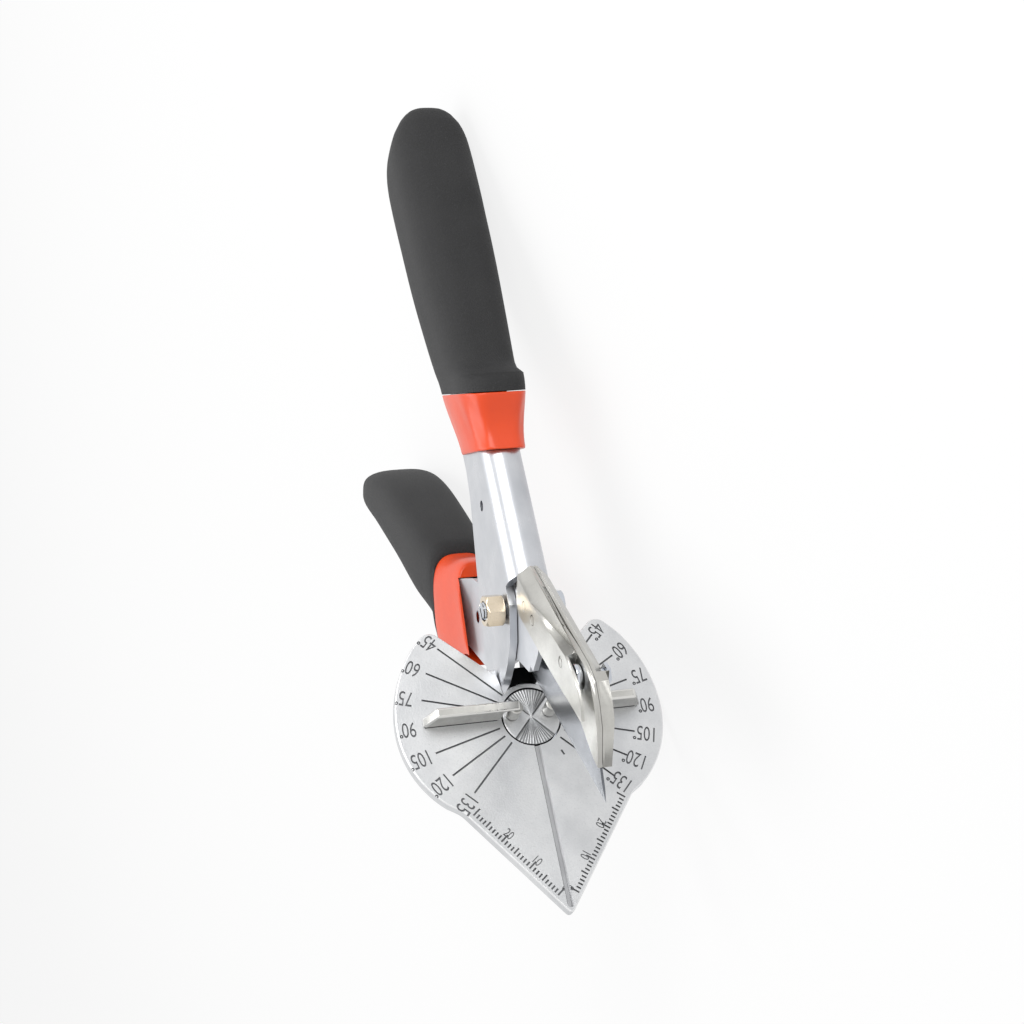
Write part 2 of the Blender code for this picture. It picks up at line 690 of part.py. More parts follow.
def build_lever_hardware(body, finish):
    """Spacer, washer and rivet between the cheeks."""
    centre = (PIVOT_BACK, PIVOT_RISE)
    ends = CHEEK_INNER - CLEAR
    washer_end = WASHER_THICK - ends
    nut = hexagon(HEX_FLAT_HALF, "X", washer_end + CLEAR, ends, centre)
    spacer = make_piece("hex_spacer", nut, "plated_steel", body, finish)
    reach = CHANNEL_HALF
    combine(spacer, rod(PIVOT_RADIUS + CLEAR, "X", -reach, reach, centre))
    ring = washer_profile(PIVOT_RADIUS + CLEAR, WASHER_RADIUS, -ends, washer_end)
    make_piece("spacer_washer", turned(ring, "X", centre), "plated_steel", body, finish)
    rivet = rod(RIVET_RADIUS, "X", -CHEEK_OUTER, CHEEK_OUTER, lower_rivet_place())
    make_piece("lower_rivet", rivet, "plated_steel", body, finish)


def blade_outline():
    """The trapezoid blade, edge down."""
    tip = BLADE_TIP_REACH
    low = BLADE_REST_GAP
    high = BLADE_REST_GAP + BLADE_WIDTH
    return [
        lever_point(tip, low),
        lever_point(tip - BLADE_LENGTH, low),
        lever_point(tip - BLADE_LENGTH + BLADE_SLOPE, high),
        lever_point(tip - BLADE_SLOPE, high),
    ]


def build_blade(body, finish):
    """The blade in the plane x = 0."""
    half = BLADE_THICK / 2
    blade = prism(blade_outline(), "X", -half, half)
    make_piece("blade", blade, "blade_steel", body, finish)


def shared_points(shares):
    """Side view points of the holder, from shares of its reach and height."""
    return [lever_point(HOLDER_REACH * along, HOLDER_HEIGHT * up) for along, up in shares]


def holder_outline(low):
    """Side view of one holder half, whose body reaches down to the low height."""
    body = [lever_point(BLADE_SLOPE * 1.9, low), lever_point(NOSE_LOW_REACH, low)]
    return shared_points(HOLDER_TOP_SHARES) + body + shared_points(HOLDER_NOSE_SHARES)


def step_back(reach):
    """Y of a reach ahead of the pivot."""
    return PIVOT_BACK - reach


def holder_plan(side, step, nose):
    """Plan of one half: the body, and a narrower nose ahead of its step."""
    inner = BLADE_THICK / 2 + CLEAR
    points = [
        (inner, step_back(HOLDER_REACH + OVERRUN)),
        (nose * NOSE_TIP_SHARE, step_back(HOLDER_REACH)),
        (nose, step_back(HOLDER_REACH * NOSE_TAPER_SHARE)),
        (nose, step_back(step + CLEAR)),
        (HOLDER_HALF, step_back(step)),
        (HOLDER_HALF, step_back(BLADE_SLOPE * 0.4)),
        (HOLDER_HALF * HOLDER_REAR_SHARE, step_back(0)),
        (inner, step_back(0)),
    ]
    return [(side * x, y) for x, y in points]


def cheek_pocket():
    """Side view of the pockets that the cheeks stand in."""
    front = step_back(BLADE_WIDTH * POCKET_REACH_SHARE + CLEAR)
    back = PIVOT_BACK + OVERRUN
    top = HOLDER_HEIGHT * POCKET_TOP_SHARE + CLEAR
    return [(front, -OVERRUN), (back, -OVERRUN), (back, top), (front, top)]


def bevel(side, ridge, shares):
    """Cutter that slopes one half's top from its ridge down to its side."""
    rings = []
    outer = HOLDER_HALF + OVERRUN
    for along, up, fall in shares:
        y, high = lever_point(HOLDER_REACH * along, HOLDER_HEIGHT * up)
        slope = HOLDER_HALF * fall / (HOLDER_HALF - ridge)
        corners = [
            (ridge - OVERRUN, high + slope * OVERRUN),
            (outer, high - slope * (outer - ridge)),
            (outer, high + OVERRUN * 2),
            (ridge - OVERRUN, high + OVERRUN * 2),
        ]
        rings.append([Vector((side * x, y, z)) for x, z in corners])
    return loft(rings)


def round_the_finger():
    """Side view of what is cut away round the thin plate ahead of the left half."""
    far = HOLDER_REACH + OVERRUN
    high = HOLDER_HEIGHT + OVERRUN
    outside = [(FINGER_START, high), (far, high), (far, 0), (FINGER_LOW_START, 0), (FINGER_LOW_START, FINGER_LOW)]
    return [lever_point(reach, height) for reach, height in outside] + shared_points(FINGER_SHARES)


def build_holder(body, finish):
    """Two cast halves that clamp the blade and take the cheeks in their pockets."""
    halves = (
        ("holder_left", -1, HOLDER_LOW_LEFT, FINGER_END, NOSE_LEFT, RIDGE_LEFT, LEFT_BEVEL_SHARES),
        ("holder_right", 1, HOLDER_LOW_RIGHT, NOSE_START, NOSE_RIGHT, RIDGE_RIGHT, RIGHT_BEVEL_SHARES),
    )
    wide = HOLDER_HALF + OVERRUN
    trough = (NOSE_LEFT + FINGER_INNER) / 2
    for name, side, low, step, nose, ridge, shares in halves:
        solid = prism(holder_outline(low), "X", *sorted((0, side * HOLDER_HALF)))
        half = make_piece(name, solid, "cast_holder", body, finish)
        plan = holder_plan(side, step, nose)
        combine(half, prism(plan, "Z", -OVERRUN, HOLDER_HEIGHT + OVERRUN), "INTERSECT")
        combine(half, prism(cheek_pocket(), "X", *sorted((0, side * (CHEEK_OUTER + CLEAR)))))
        combine(half, bevel(side, ridge, shares))
        combine(half, rod(CLAMP_RADIUS + CLEAR, "X", -trough, wide, clamp_place()))
        for place in holder_pins():
            combine(half, rod(HOLDER_PIN_RADIUS + CLEAR, "X", -wide, wide, place))
        if side < 0:
            front = [(-FINGER_INNER, step_back(HOLDER_REACH + OVERRUN)), (-nose, step_back(HOLDER_REACH + OVERRUN))]
            back = [(-nose, step_back(FINGER_START)), (-FINGER_INNER, step_back(FINGER_START))]
            combine(half, prism(front + back, "Z", -OVERRUN, HOLDER_HEIGHT + OVERRUN))
            combine(half, prism(round_the_finger(), "X", -wide, -trough))
    build_clamp(body, finish)


def clamp_place():
    """Y and Z of the clamp bolt."""
    return lever_point(CLAMP_REACH, CLAMP_HEIGHT)


def build_clamp(body, finish):
    """Clamp bolt with its drum head in the left half's trough, its nut and the holder pins."""
    place = clamp_place()
    left = CLEAR - FINGER_INNER
    neck = left + CLAMP_HEAD_THICK
    right = HOLDER_HALF + CLEAR
    end = right + CLAMP_NUT_THICK + CLEAR
    drum = [(0, left), (CLAMP_HEAD_RADIUS, left), (CLAMP_HEAD_RADIUS, neck), (CLAMP_RADIUS, neck)]
    bolt = turned(drum + [(CLAMP_RADIUS, end), (0, end)], "X", place, HOLE_STEPS)
    make_piece("clamp_bolt", bolt, "plated_steel", body, finish)
    nut = hexagon(CLAMP_NUT_FLAT_HALF, "X", right, right + CLAMP_NUT_THICK, place)
    nut_obj = make_piece("clamp_nut", nut, "plated_steel", body, finish)
    combine(nut_obj, rod(CLAMP_RADIUS + CLEAR, "X", 0, right * 2, place))
    for name, spot in zip(("holder_pin_rear", "holder_pin_front"), holder_pins()):
        pin = rod(HOLDER_PIN_RADIUS, "X", -HOLDER_HALF, HOLDER_HALF, spot)
        make_piece(name, pin, "plated_steel", body, finish)


def section(station, centre, width, depth, lean=0.0, flare=0.0, bump=0.0):
    """One rounded-square ring across the Y axis, leaning back with height, wider on top by its flare."""
    points = []
    power = 2 / GRIP_SQUARENESS
    for step in range(SECTION_STEPS):
        angle = math.tau * step / SECTION_STEPS
        across = math.copysign(abs(math.cos(angle)) ** power, math.cos(angle))
        up = math.copysign(abs(math.sin(angle)) ** power, math.sin(angle))
        swell = bump * max(0, math.sin(angle)) ** 2
        x = (width / 2 * (1 + flare * up) + swell * 0.7) * across
        z = (depth / 2 + swell) * up
        points.append(Vector((x, station + lean * z, centre + z)))
    return points


def loft(sections):
    """A closed body through the rings, with flat ends."""
    bm = bmesh.new()
    rings = []
    for points in sections:
        verts = [bm.verts.new(point) for point in points]
        rings.append([bm.edges.new((verts[i - 1], verts[i])) for i in range(len(verts))])
    for first, second in zip(rings, rings[1:]):
        bmesh.ops.bridge_loops(bm, edges=first + second)
    bmesh.ops.holes_fill(bm, edges=rings[0] + rings[-1], sides=SECTION_STEPS)
    return bm


# Grip rings as shares of length, rise over the grip's line, width, depth, lean and thumb stop
UPPER_GRIP_SHARES = (
    (0.000, 0.02, 0.96, 0.96, -0.60, 0.94),
    (0.030, 0.02, 0.97, 0.98, -0.57, 1.06),
    (0.052, 0.01, 0.98, 0.99, -0.51, 1.00),
    (0.066, 0.00, 0.99, 0.99, -0.46, 0.16),
    (0.110, -0.02, 1.02, 1.00, -0.31, 0.00),
    (0.220, -0.05, 1.09, 1.01, -0.08, 0.00),
    (0.400, -0.11, 1.18, 1.04, 0.00, 0.00),
    (0.600, -0.16, 1.23, 1.05, 0.00, 0.00),
    (0.740, -0.20, 1.25, 1.04, 0.00, 0.00),
    (0.830, -0.20, 1.24, 1.01, 0.00, 0.00),
    (0.890, -0.14, 1.17, 0.94, 0.00, 0.00),
    (0.935, -0.05, 0.99, 0.81, 0.00, 0.00),
    (0.970, 0.05, 0.70, 0.59, 0.00, 0.00),
    (0.990, 0.12, 0.38, 0.34, 0.00, 0.00),
    (1.000, 0.15, 0.12, 0.12, 0.00, 0.00),
)
LOWER_GRIP_SHARES = (
    (0.000, -0.018, 0.920, 1.099, 0.50),
    (0.012, 0.018, 0.935, 1.099, 0.49),
    (0.035, 0.221, 0.960, 0.908, 0.45),
    (0.070, 0.298, 1.010, 0.874, 0.38),
    (0.210, 0.264, 1.120, 0.916, 0.15),
    (0.430, 0.224, 1.170, 0.889, 0.00),
    (0.600, 0.150, 1.200, 0.866, 0.00),
    (0.740, 0.040, 1.210, 0.790, 0.00),
    (0.850, -0.113, 1.200, 0.691, 0.00),
    (0.930, -0.255, 1.150, 0.576, 0.00),
    (0.975, -0.337, 1.040, 0.450, 0.00),
    (1.000, -0.374, 0.750, 0.282, 0.00),
)
COLLAR_CENTRE_SHARE = 0.52
COLLAR_DEPTH_SHARE = 0.92


def build_upper_grip(body, finish):
    """Soft grip over the channel, open at the front."""
    rings = []
    for along, rise, wide, deep, lean, bump in UPPER_GRIP_SHARES:
        station = GRIP_START + GRIP_LENGTH * along
        centre = GRIP_RISE * (1 + rise)
        size = (GRIP_WIDTH * wide, GRIP_DEPTH * deep)
        rings.append(section(station, centre, *size, lean, 0, THUMB_STOP * bump))
    grip = make_piece("upper_grip", loft(rings), "grip", body, finish)
    bore = arch(CHANNEL_HALF + CLEAR, CHANNEL_SEAM, CHANNEL_LOW - CLEAR)
    combine(grip, prism(bore, "Y", COLLAR_FRONT - CHANNEL_SEAM, CHANNEL_END + CLEAR))


def build_upper_collar(body, finish):
    """Moulded sleeve between the bare channel and the grip."""
    front_depth = CHANNEL_SEAM + CHANNEL_HALF - CHANNEL_LOW + UPPER_COLLAR_WALL * 2
    front_centre = CHANNEL_LOW - UPPER_COLLAR_WALL + front_depth / 2
    front_width = (CHANNEL_HALF + UPPER_COLLAR_WALL + CLEAR) * 2
    _, rise, wide, deep, lean, bump = UPPER_GRIP_SHARES[0]
    back_size = (GRIP_WIDTH * wide, GRIP_DEPTH * deep)
    back_centre = GRIP_RISE * (1 + rise)
    back = GRIP_START - CLEAR
    rings = []
    for share, swell in ((0, 0), (0.2, 0.1), (0.5, 0.4), (0.8, 0.82), (1, 1)):
        rings.append(
            section(
                COLLAR_FRONT + (back - COLLAR_FRONT) * share,
                front_centre + (back_centre - front_centre) * swell,
                front_width + (back_size[0] - front_width) * swell,
                front_depth + (back_size[1] - front_depth) * swell,
                lean,
                0,
                THUMB_STOP * bump * swell * share,
            )
        )
    collar = make_piece("upper_collar", loft(rings), "collar", body, finish)
    bore = arch(CHANNEL_HALF + CLEAR, CHANNEL_SEAM, CHANNEL_LOW - CLEAR)
    combine(collar, prism(bore, "Y", PIVOT_BACK, CHANNEL_END))


def lever_bore():
    """Cutter that follows the lever's back part with a gap all round."""
    top = CLEAR - LEVER_TOP_FALL
    low = -LEVER_LOW_FALL - CLEAR
    start = PIVOT_BACK + BLADE_WIDTH
    return [
        (start, low),
        (LOWER_GRIP_START, low),
        (LEVER_END + CLEAR, low),
        (LEVER_END + CLEAR, top),
        (LOWER_GRIP_START, top),
        (LEVER_FLARE_START, FENCE_HEIGHT / 2 + CLEAR),
        (start, PIVOT_RISE * 0.61 + CLEAR * 3),
    ]


def build_lower_grip(body, finish):
    """Soft grip of the lever, open at the front."""
    rings = []
    for along, rise, wide, deep, lean in LOWER_GRIP_SHARES:
        station = LOWER_GRIP_START + LOWER_GRIP_LENGTH * along
        centre = LOWER_GRIP_FALL * (rise - 1)
        rings.append(section(station, centre, GRIP_WIDTH * wide, LOWER_GRIP_DEPTH * deep, lean))
    grip = make_piece("lower_grip", loft(rings), "grip", body, finish)
    half = CHANNEL_HALF + CLEAR
    combine(grip, prism(lever_bore(), "X", -half, half))


def build_lower_collar(body, finish):
    """Moulded sleeve of the lever, with a slanting front edge."""
    _, rise, wide, deep, lean = LOWER_GRIP_SHARES[0]
    back = LOWER_GRIP_START - CLEAR
    back_centre = LOWER_GRIP_FALL * (rise - 1)
    front_centre = -LEVER_BELLY_FALL * COLLAR_CENTRE_SHARE
    front_width = (CHANNEL_HALF + COLLAR_WALL + CLEAR) * 2
    front_depth = LOWER_GRIP_DEPTH * COLLAR_DEPTH_SHARE
    rings = []
    for share, swell in ((0, 0), (0.3, 0.25), (0.7, 0.75), (1, 1)):
        rings.append(
            section(
                LOWER_COLLAR_FRONT + (back - LOWER_COLLAR_FRONT) * share,
                front_centre + (back_centre - front_centre) * swell,
                front_width + (GRIP_WIDTH * wide - front_width) * swell,
                front_depth + (LOWER_GRIP_DEPTH * deep - front_depth) * swell,
                LOWER_COLLAR_LEAN + (lean - LOWER_COLLAR_LEAN) * swell,
            )
        )
    collar = make_piece("lower_collar", loft(rings), "collar", body, finish)
    half = CHANNEL_HALF + CLEAR
    combine(collar, prism(lever_bore(), "X", -half, half))


def world_points():
    """Every point of the visible pieces, with the centre of their volume."""
    bpy.context.view_layer.update()
    graph = bpy.context.evaluated_depsgraph_get()
    clouds = []
    volume = 0.0
    moment = np.zeros(3)
    for obj in bpy.context.scene.objects:
        if obj.type != "MESH" or obj.hide_render:
            continue
        evaluated = obj.evaluated_get(graph)
        mesh = evaluated.to_mesh()
        mesh.calc_loop_triangles()
        points = np.array([evaluated.matrix_world @ vert.co for vert in mesh.vertices])
        faces = np.array([triangle.vertices[:] for triangle in mesh.loop_triangles])
        evaluated.to_mesh_clear()
        corners = points[faces]
        parts = np.einsum("ij,ij->i", corners[:, 0], np.cross(corners[:, 1], corners[:, 2])) / 6
        volume += parts.sum()
        moment += (parts[:, None] * corners.sum(axis=1) / 4).sum(axis=0)
        clouds.append(points)
    return np.concatenate(clouds), moment / volume


def resting_direction(points, centre):
    """The downward normal of the hull face that the tool stands on, found by letting it tip over."""
    hull = bmesh.new()
    for point in points:
        hull.verts.new(point)
    bmesh.ops.convex_hull(hull, input=hull.verts)
    bmesh.ops.recalc_face_normals(hull, faces=hull.faces)
    tree = BVHTree.FromBMesh(hull)
    down = Vector((1, 0, 0))
    for _ in range(ROUND_STEPS):
        _, normal, _, _ = tree.ray_cast(Vector(centre), down)
        if normal is None or normal.dot(down) > 1 - 1e-9:
            break
        down = normal.normalized()
    hull.free()
    return down


def lay_on_side(tool):
    """Turns the tool so that it rests on the floor, over the middle of the scene."""
    points, centre = world_points()
    down = resting_direction(points, centre)
    up = -down
    ahead = (Vector((0, 1, 0)) - up * up.y).normalized()
    side = ahead.cross(up)
    turn = Matrix((side, ahead, up))
    laid = points @ np.array(turn).T
    middle = (laid.min(axis=0) + laid.max(axis=0)) / 2
    tool.matrix_world = Matrix.Translation((-middle[0], -middle[1], -laid[:, 2].min())) @ turn.to_4x4()
    bpy.context.view_layer.update()


def main():
    """Builds the tool and lays it down."""
    clear_scene()
    finish = {
        "plated_steel": make_material("plated_steel", (0.62, 0.63, 0.64), 0.28, 1.0),
        "nickel": make_material("nickel", (0.66, 0.58, 0.46), 0.25, 1.0),
        "cast_plate": make_material("cast_plate", (0.66, 0.67, 0.68), 0.42, 1.0),
        "cast_fence": make_material("cast_fence", (0.62, 0.63, 0.62), 0.45, 1.0),
        "cast_holder": make_material("cast_holder", (0.60, 0.60, 0.59), 0.4, 1.0),
        "blade_steel": make_material("blade_steel", (0.45, 0.46, 0.48), 0.3, 1.0),
        "collar": make_material("collar", (0.90, 0.16, 0.04), 0.3, 0.0),
        "grip": make_material("grip", (0.045, 0.045, 0.045), 0.6, 0.0),
    }
    tool = make_empty("tool")
    lever = make_empty("lever_joint", tool)
    lever.location = PIVOT
    turntable = make_empty("turntable_joint", tool)
    build_plate(tool, finish)
    build_plate_fixing(tool, finish)
    build_upper_handle(tool, finish)
    build_upper_collar(tool, finish)
    build_upper_grip(tool, finish)
    build_pivot(tool, finish)
    build_turntable(turntable, finish)
    build_fence(turntable, finish)
    build_lower_handle(lever, finish)
    build_lower_collar(lever, finish)
    build_lower_grip(lever, finish)
    build_lever_hardware(lever, finish)
    build_blade(lever, finish)
    build_holder(lever, finish)
    lever.rotation_euler.x = -OPEN_ANGLE
    lay_on_side(tool)


main()
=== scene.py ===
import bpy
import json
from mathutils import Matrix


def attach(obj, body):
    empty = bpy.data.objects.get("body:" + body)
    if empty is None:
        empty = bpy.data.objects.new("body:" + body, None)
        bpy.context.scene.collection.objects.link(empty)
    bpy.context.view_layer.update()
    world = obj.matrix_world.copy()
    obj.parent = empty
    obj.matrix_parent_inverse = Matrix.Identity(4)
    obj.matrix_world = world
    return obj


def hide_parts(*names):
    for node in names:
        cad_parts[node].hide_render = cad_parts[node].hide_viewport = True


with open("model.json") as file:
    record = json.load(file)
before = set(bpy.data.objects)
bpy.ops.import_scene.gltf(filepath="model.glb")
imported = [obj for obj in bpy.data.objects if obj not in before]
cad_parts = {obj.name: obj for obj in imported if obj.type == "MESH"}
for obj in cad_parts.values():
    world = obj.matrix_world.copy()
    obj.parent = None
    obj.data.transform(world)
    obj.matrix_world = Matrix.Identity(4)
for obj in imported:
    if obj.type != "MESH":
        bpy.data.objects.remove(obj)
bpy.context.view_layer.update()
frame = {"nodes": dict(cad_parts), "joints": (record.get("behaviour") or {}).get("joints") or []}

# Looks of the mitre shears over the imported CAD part. Shapes are drawn in millimetres in the tool's own
# frame: X across the blade, Y back to the handles, Z out of the angle plate, zero at the turntable, with
# the lever shut.

import json
import logging
import math
from dataclasses import dataclass, field, replace
from enum import Enum
from typing import Callable, Optional, Sequence, Union

import bmesh
import bpy
from mathutils import Matrix, Vector

LOG = logging.getLogger("mitre_shears")
MILLIMETRE = 0.001
# The clearance between neighbours, how far a cutter reaches past what it cuts, the lever's opening at rest in
# degrees, the pivot's place along Y and Z, and the middle of a noise pattern.
GAP = 0.3
OVER = 1.0
OPENED = 36.25
PIVOT = (25.6, 14.76)
MIDDLE = 0.5
Pair = tuple[float, float]
Colour = tuple[float, float, float, float]


class Axis(Enum):
    """An axis of the tool's own frame."""

    X = 0
    Y = 1
    Z = 2


class Side(Enum):
    """Left or right of the blade's plane, as the photograph shows them."""

    LEFT = -1
    RIGHT = 1


class Body(Enum):
    """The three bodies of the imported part."""

    FRAME = "frame"
    LEVER = "lever"
    TURNTABLE = "turntable"


class Work(Enum):
    """How one shape acts on another."""

    TAKE = "DIFFERENCE"
    JOIN = "UNION"
    KEEP = "INTERSECT"


def tone(red: float, green: float, blue: float) -> Colour:
    """Turns a colour written as 0 to 255 into linear values.

    Args:
        red: The red part.
        green: The green part.
        blue: The blue part.

    Returns:
        The linear colour with full alpha.
    """
    parts = [part / 255 for part in (red, green, blue)]
    linear = [part / 12.92 if part <= 0.04045 else ((part + 0.055) / 1.055) ** 2.4 for part in parts]
    return (linear[0], linear[1], linear[2], 1.0)


def mesh_of(name: str, bm: bmesh.types.BMesh) -> bpy.types.Mesh:
    """Turns a bmesh into a mesh and frees it.

    Args:
        name: Its name.
        bm: The bmesh.

    Returns:
        The mesh.
    """
    mesh = bpy.data.meshes.new(name)
    bm.to_mesh(mesh)
    bm.free()
    return mesh


def linked(name: str, data: bpy.types.ID) -> bpy.types.Object:
    """Puts a new object into the scene.

    Args:
        name: Its name.
        data: Its mesh, curve, light or camera.

    Returns:
        The object.
    """
    obj = bpy.data.objects.new(name, data)
    bpy.context.scene.collection.objects.link(obj)
    return obj


@dataclass(frozen=True)
class Placing:
    """Where the tool's own frame lies in the row frame, for the fixed bodies and for the opened lever."""

    tool: Matrix
    lever: Matrix

    @classmethod
    def read(cls, joints: Sequence[dict], opened: float, pivot: Vector) -> "Placing":
        """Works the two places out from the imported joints.

        Args:
            joints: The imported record's joints.
            opened: The lever's opening from shut, in degrees.
            pivot: The pivot in the tool's own frame, in millimetres.

        Returns:
            The places of both frames, which also turn millimetres into metres.
        """
        found = {joint["name"]: joint for joint in joints}
        origin = Vector(found["fence_turn"]["pos_m"])
        across = Vector(found["lever_pivot"]["axis"]).normalized()
        up = Vector(found["fence_turn"]["axis"])
        up = (up - across * up.dot(across)).normalized()
        turn = Matrix((across, up.cross(across), up)).transposed().to_4x4()
        tool = Matrix.Translation(origin) @ turn @ Matrix.Scale(MILLIMETRE, 4)
        swing = Matrix.Rotation(-math.radians(opened), 4, "X")
        lever = tool @ Matrix.Translation(pivot) @ swing @ Matrix.Translation(-pivot)
        return cls(tool, lever)

    def of(self, body: Body) -> Matrix:
        """The matrix from a body's drawing frame to the row frame."""
        return self.lever if body is Body.LEVER else self.tool


class Form:
    """A shape in progress: a bmesh in millimetres in the tool's own frame."""

    corner_reach = 0.002
    flat_angle = 0.6

    def __init__(self) -> None:
        """Starts an empty shape."""
        self.bm = bmesh.new()

    @classmethod
    def prism(cls, outline: Sequence[Pair], axis: Axis, low: float, high: float) -> "Form":
        """Pushes an outline along an axis.

        Args:
            outline: Points in the other two axes, in order.
            axis: The axis to push along.
            low: Where it starts.
            high: Where it ends.

        Returns:
            The closed shape.
        """
        form = cls()
        verts = []
        for first, second in outline:
            place = [first, second]
            place.insert(axis.value, low)
            verts.append(form.bm.verts.new(place))
        pushed = bmesh.ops.extrude_face_region(form.bm, geom=[form.bm.faces.new(verts)])
        step = Vector((0, 0, 0))
        step[axis.value] = high - low
        moved = [item for item in pushed["geom"] if isinstance(item, bmesh.types.BMVert)]
        bmesh.ops.translate(form.bm, verts=moved, vec=step)
        return form.merged()

    @classmethod
    def turned(cls, profile: Sequence[Pair], axis: Axis, centre: Pair = (0, 0), steps: int = 64) -> "Form":
        """Spins a profile once round an axis.

        Args:
            profile: Points of radius and place along the axis.
            axis: The axis to spin round.
            centre: The axis' place in the other two axes.
            steps: How many steps the spin has.

        Returns:
            The closed shape.
        """
        form = cls()
        spin_axis = Vector((0, 0, 0))
        spin_axis[axis.value] = 1
        middle = list(centre)
        middle.insert(axis.value, 0)
        verts = []
        for radius, place in profile:
            spot = [centre[0] + radius, centre[1]]
            spot.insert(axis.value, place)
            verts.append(form.bm.verts.new(spot))
        first = 1 if profile[0][0] == 0 and profile[-1][0] == 0 else 0
        edges = [form.bm.edges.new((verts[i - 1], verts[i])) for i in range(first, len(verts))]
        bmesh.ops.spin(
            form.bm, geom=verts + edges, cent=middle, axis=spin_axis, angle=math.tau, steps=steps,
            use_merge=True
        )
        return form.merged()

    @classmethod
    def lofted(cls, rings: Sequence[Sequence[Vector]]) -> "Form":
        """Bridges rings of points one after the other and fills both ends.

        Args:
            rings: The rings, each with the same number of points.

        Returns:
            The closed shape.
        """
        form = cls()
        loops = []
        for points in rings:
            verts = [form.bm.verts.new(point) for point in points]
            loops.append([form.bm.edges.new((verts[i - 1], verts[i])) for i in range(len(verts))])
        for first, second in zip(loops, loops[1:]):
            bmesh.ops.bridge_loops(form.bm, edges=first + second)
        bmesh.ops.holes_fill(form.bm, edges=loops[0] + loops[-1], sides=len(rings[0]))
        return form.merged()

    @classmethod
    def of_node(cls, node: str, place: Matrix) -> "Form":
        """Copies a CAD node back into the drawing frame, with its split corners and flat faces merged.

        Args:
            node: The node's name.
            place: The matrix from the drawing frame to the row frame.

        Returns:
            The copy.
        """
        form = cls()
        form.bm.from_mesh(frame["nodes"][node].data)
        for layer in list(form.bm.loops.layers.uv):
            form.bm.loops.layers.uv.remove(layer)
        form.bm.transform(place.inverted())
        for face in form.bm.faces:
            face.material_index = 0
        form.merged(cls.corner_reach)
        flat = math.radians(cls.flat_angle)
        bmesh.ops.dissolve_limit(form.bm, angle_limit=flat, verts=form.bm.verts, edges=form.bm.edges)
        return form

    @classmethod
    def lettering(cls, words: str, size: float, narrow: float, depth: float) -> "Form":
        """Makes numbers as a solid round z = 0.

        Args:
            words: The numbers.
            size: The letter size.
            narrow: How much narrower the letters are than the typeface.
            depth: Half of the solid's height.

        Returns:
            The numbers, centred at zero.
        """
        curve = bpy.data.curves.new("lettering", "FONT")
        curve.body = words
        curve.size = size
        curve.extrude = depth
        curve.resolution_u = 3
        curve.align_x = curve.align_y = "CENTER"
        holder = linked("lettering", curve)
        mesh = bpy.data.meshes.new_from_object(holder.evaluated_get(bpy.context.evaluated_depsgraph_get()))
        form = cls()
        form.bm.from_mesh(mesh)
        bpy.data.objects.remove(holder)
        bpy.data.curves.remove(curve)
        bpy.data.meshes.remove(mesh)
        bmesh.ops.scale(form.bm, vec=(narrow, 1, 1), verts=form.bm.verts)
        return form.merged()

    def merged(self, reach: float = 0.0005) -> "Form":
        """Merges doubles within a reach and turns the faces outwards.

        Args:
            reach: How far apart doubles may lie.

        Returns:
            The same shape.
        """
        bmesh.ops.remove_doubles(self.bm, verts=self.bm.verts, dist=reach)
        bmesh.ops.dissolve_degenerate(self.bm, dist=reach, edges=self.bm.edges)
        bmesh.ops.recalc_face_normals(self.bm, faces=self.bm.faces)
        return self

    def moved(self, matrix: Matrix) -> "Form":
        """Moves the whole shape."""
        self.bm.transform(matrix)
        return self

    def shaped(self, change: Callable[[Vector], Vector]) -> "Form":
        """Puts every point where a rule says.

        Args:
            change: The rule, from a point to its new place.

        Returns:
            The same shape.
        """
        for vert in self.bm.verts:
            vert.co = change(vert.co)
        return self.merged()

    def softened(self, width: float, angle: float, segments: int) -> "Form":
        """Rounds the edges that are sharper than an angle and marks them as worn.

        Args:
            width: How far the rounding reaches.
            angle: The least turn between faces, in degrees.
            segments: How many strips the rounding has.

        Returns:
            The same shape.
        """
        limit = math.radians(angle)
        sharp = [edge for edge in self.bm.edges if edge.is_manifold and edge.calc_face_angle(0) > limit]
        made = bmesh.ops.bevel(
            self.bm, geom=sharp, offset=width, offset_type="OFFSET", affect="EDGES", segments=segments,
            profile=0.5, material=-1, clamp_overlap=True
        )
        layer = self.bm.loops.layers.float.get("wear") or self.bm.loops.layers.float.new("wear")
        for face in made["faces"]:
            for loop in face.loops:
                loop[layer] = 1.0
        return self

    def soiled(self, share: Callable[[Vector, Vector], float]) -> "Form":
        """Marks how much painted shade each corner gets, from its place and its face's direction.

        Args:
            share: The rule, from a place and a direction to a share.

        Returns:
            The same shape.
        """
        layer = self.bm.loops.layers.float.get("grime") or self.bm.loops.layers.float.new("grime")
        for face in self.bm.faces:
            for loop in face.loops:
                loop[layer] = share(loop.vert.co, face.normal)
        return self

    def joined(self, *others: "Form") -> "Form":
        """Takes other shapes in as separate shells.

        Args:
            others: The other shapes, which are used up.

        Returns:
            The same shape.
        """
        for other in others:
            mesh = mesh_of("joined", other.bm)
            self.bm.from_mesh(mesh)
            bpy.data.meshes.remove(mesh)
        return self

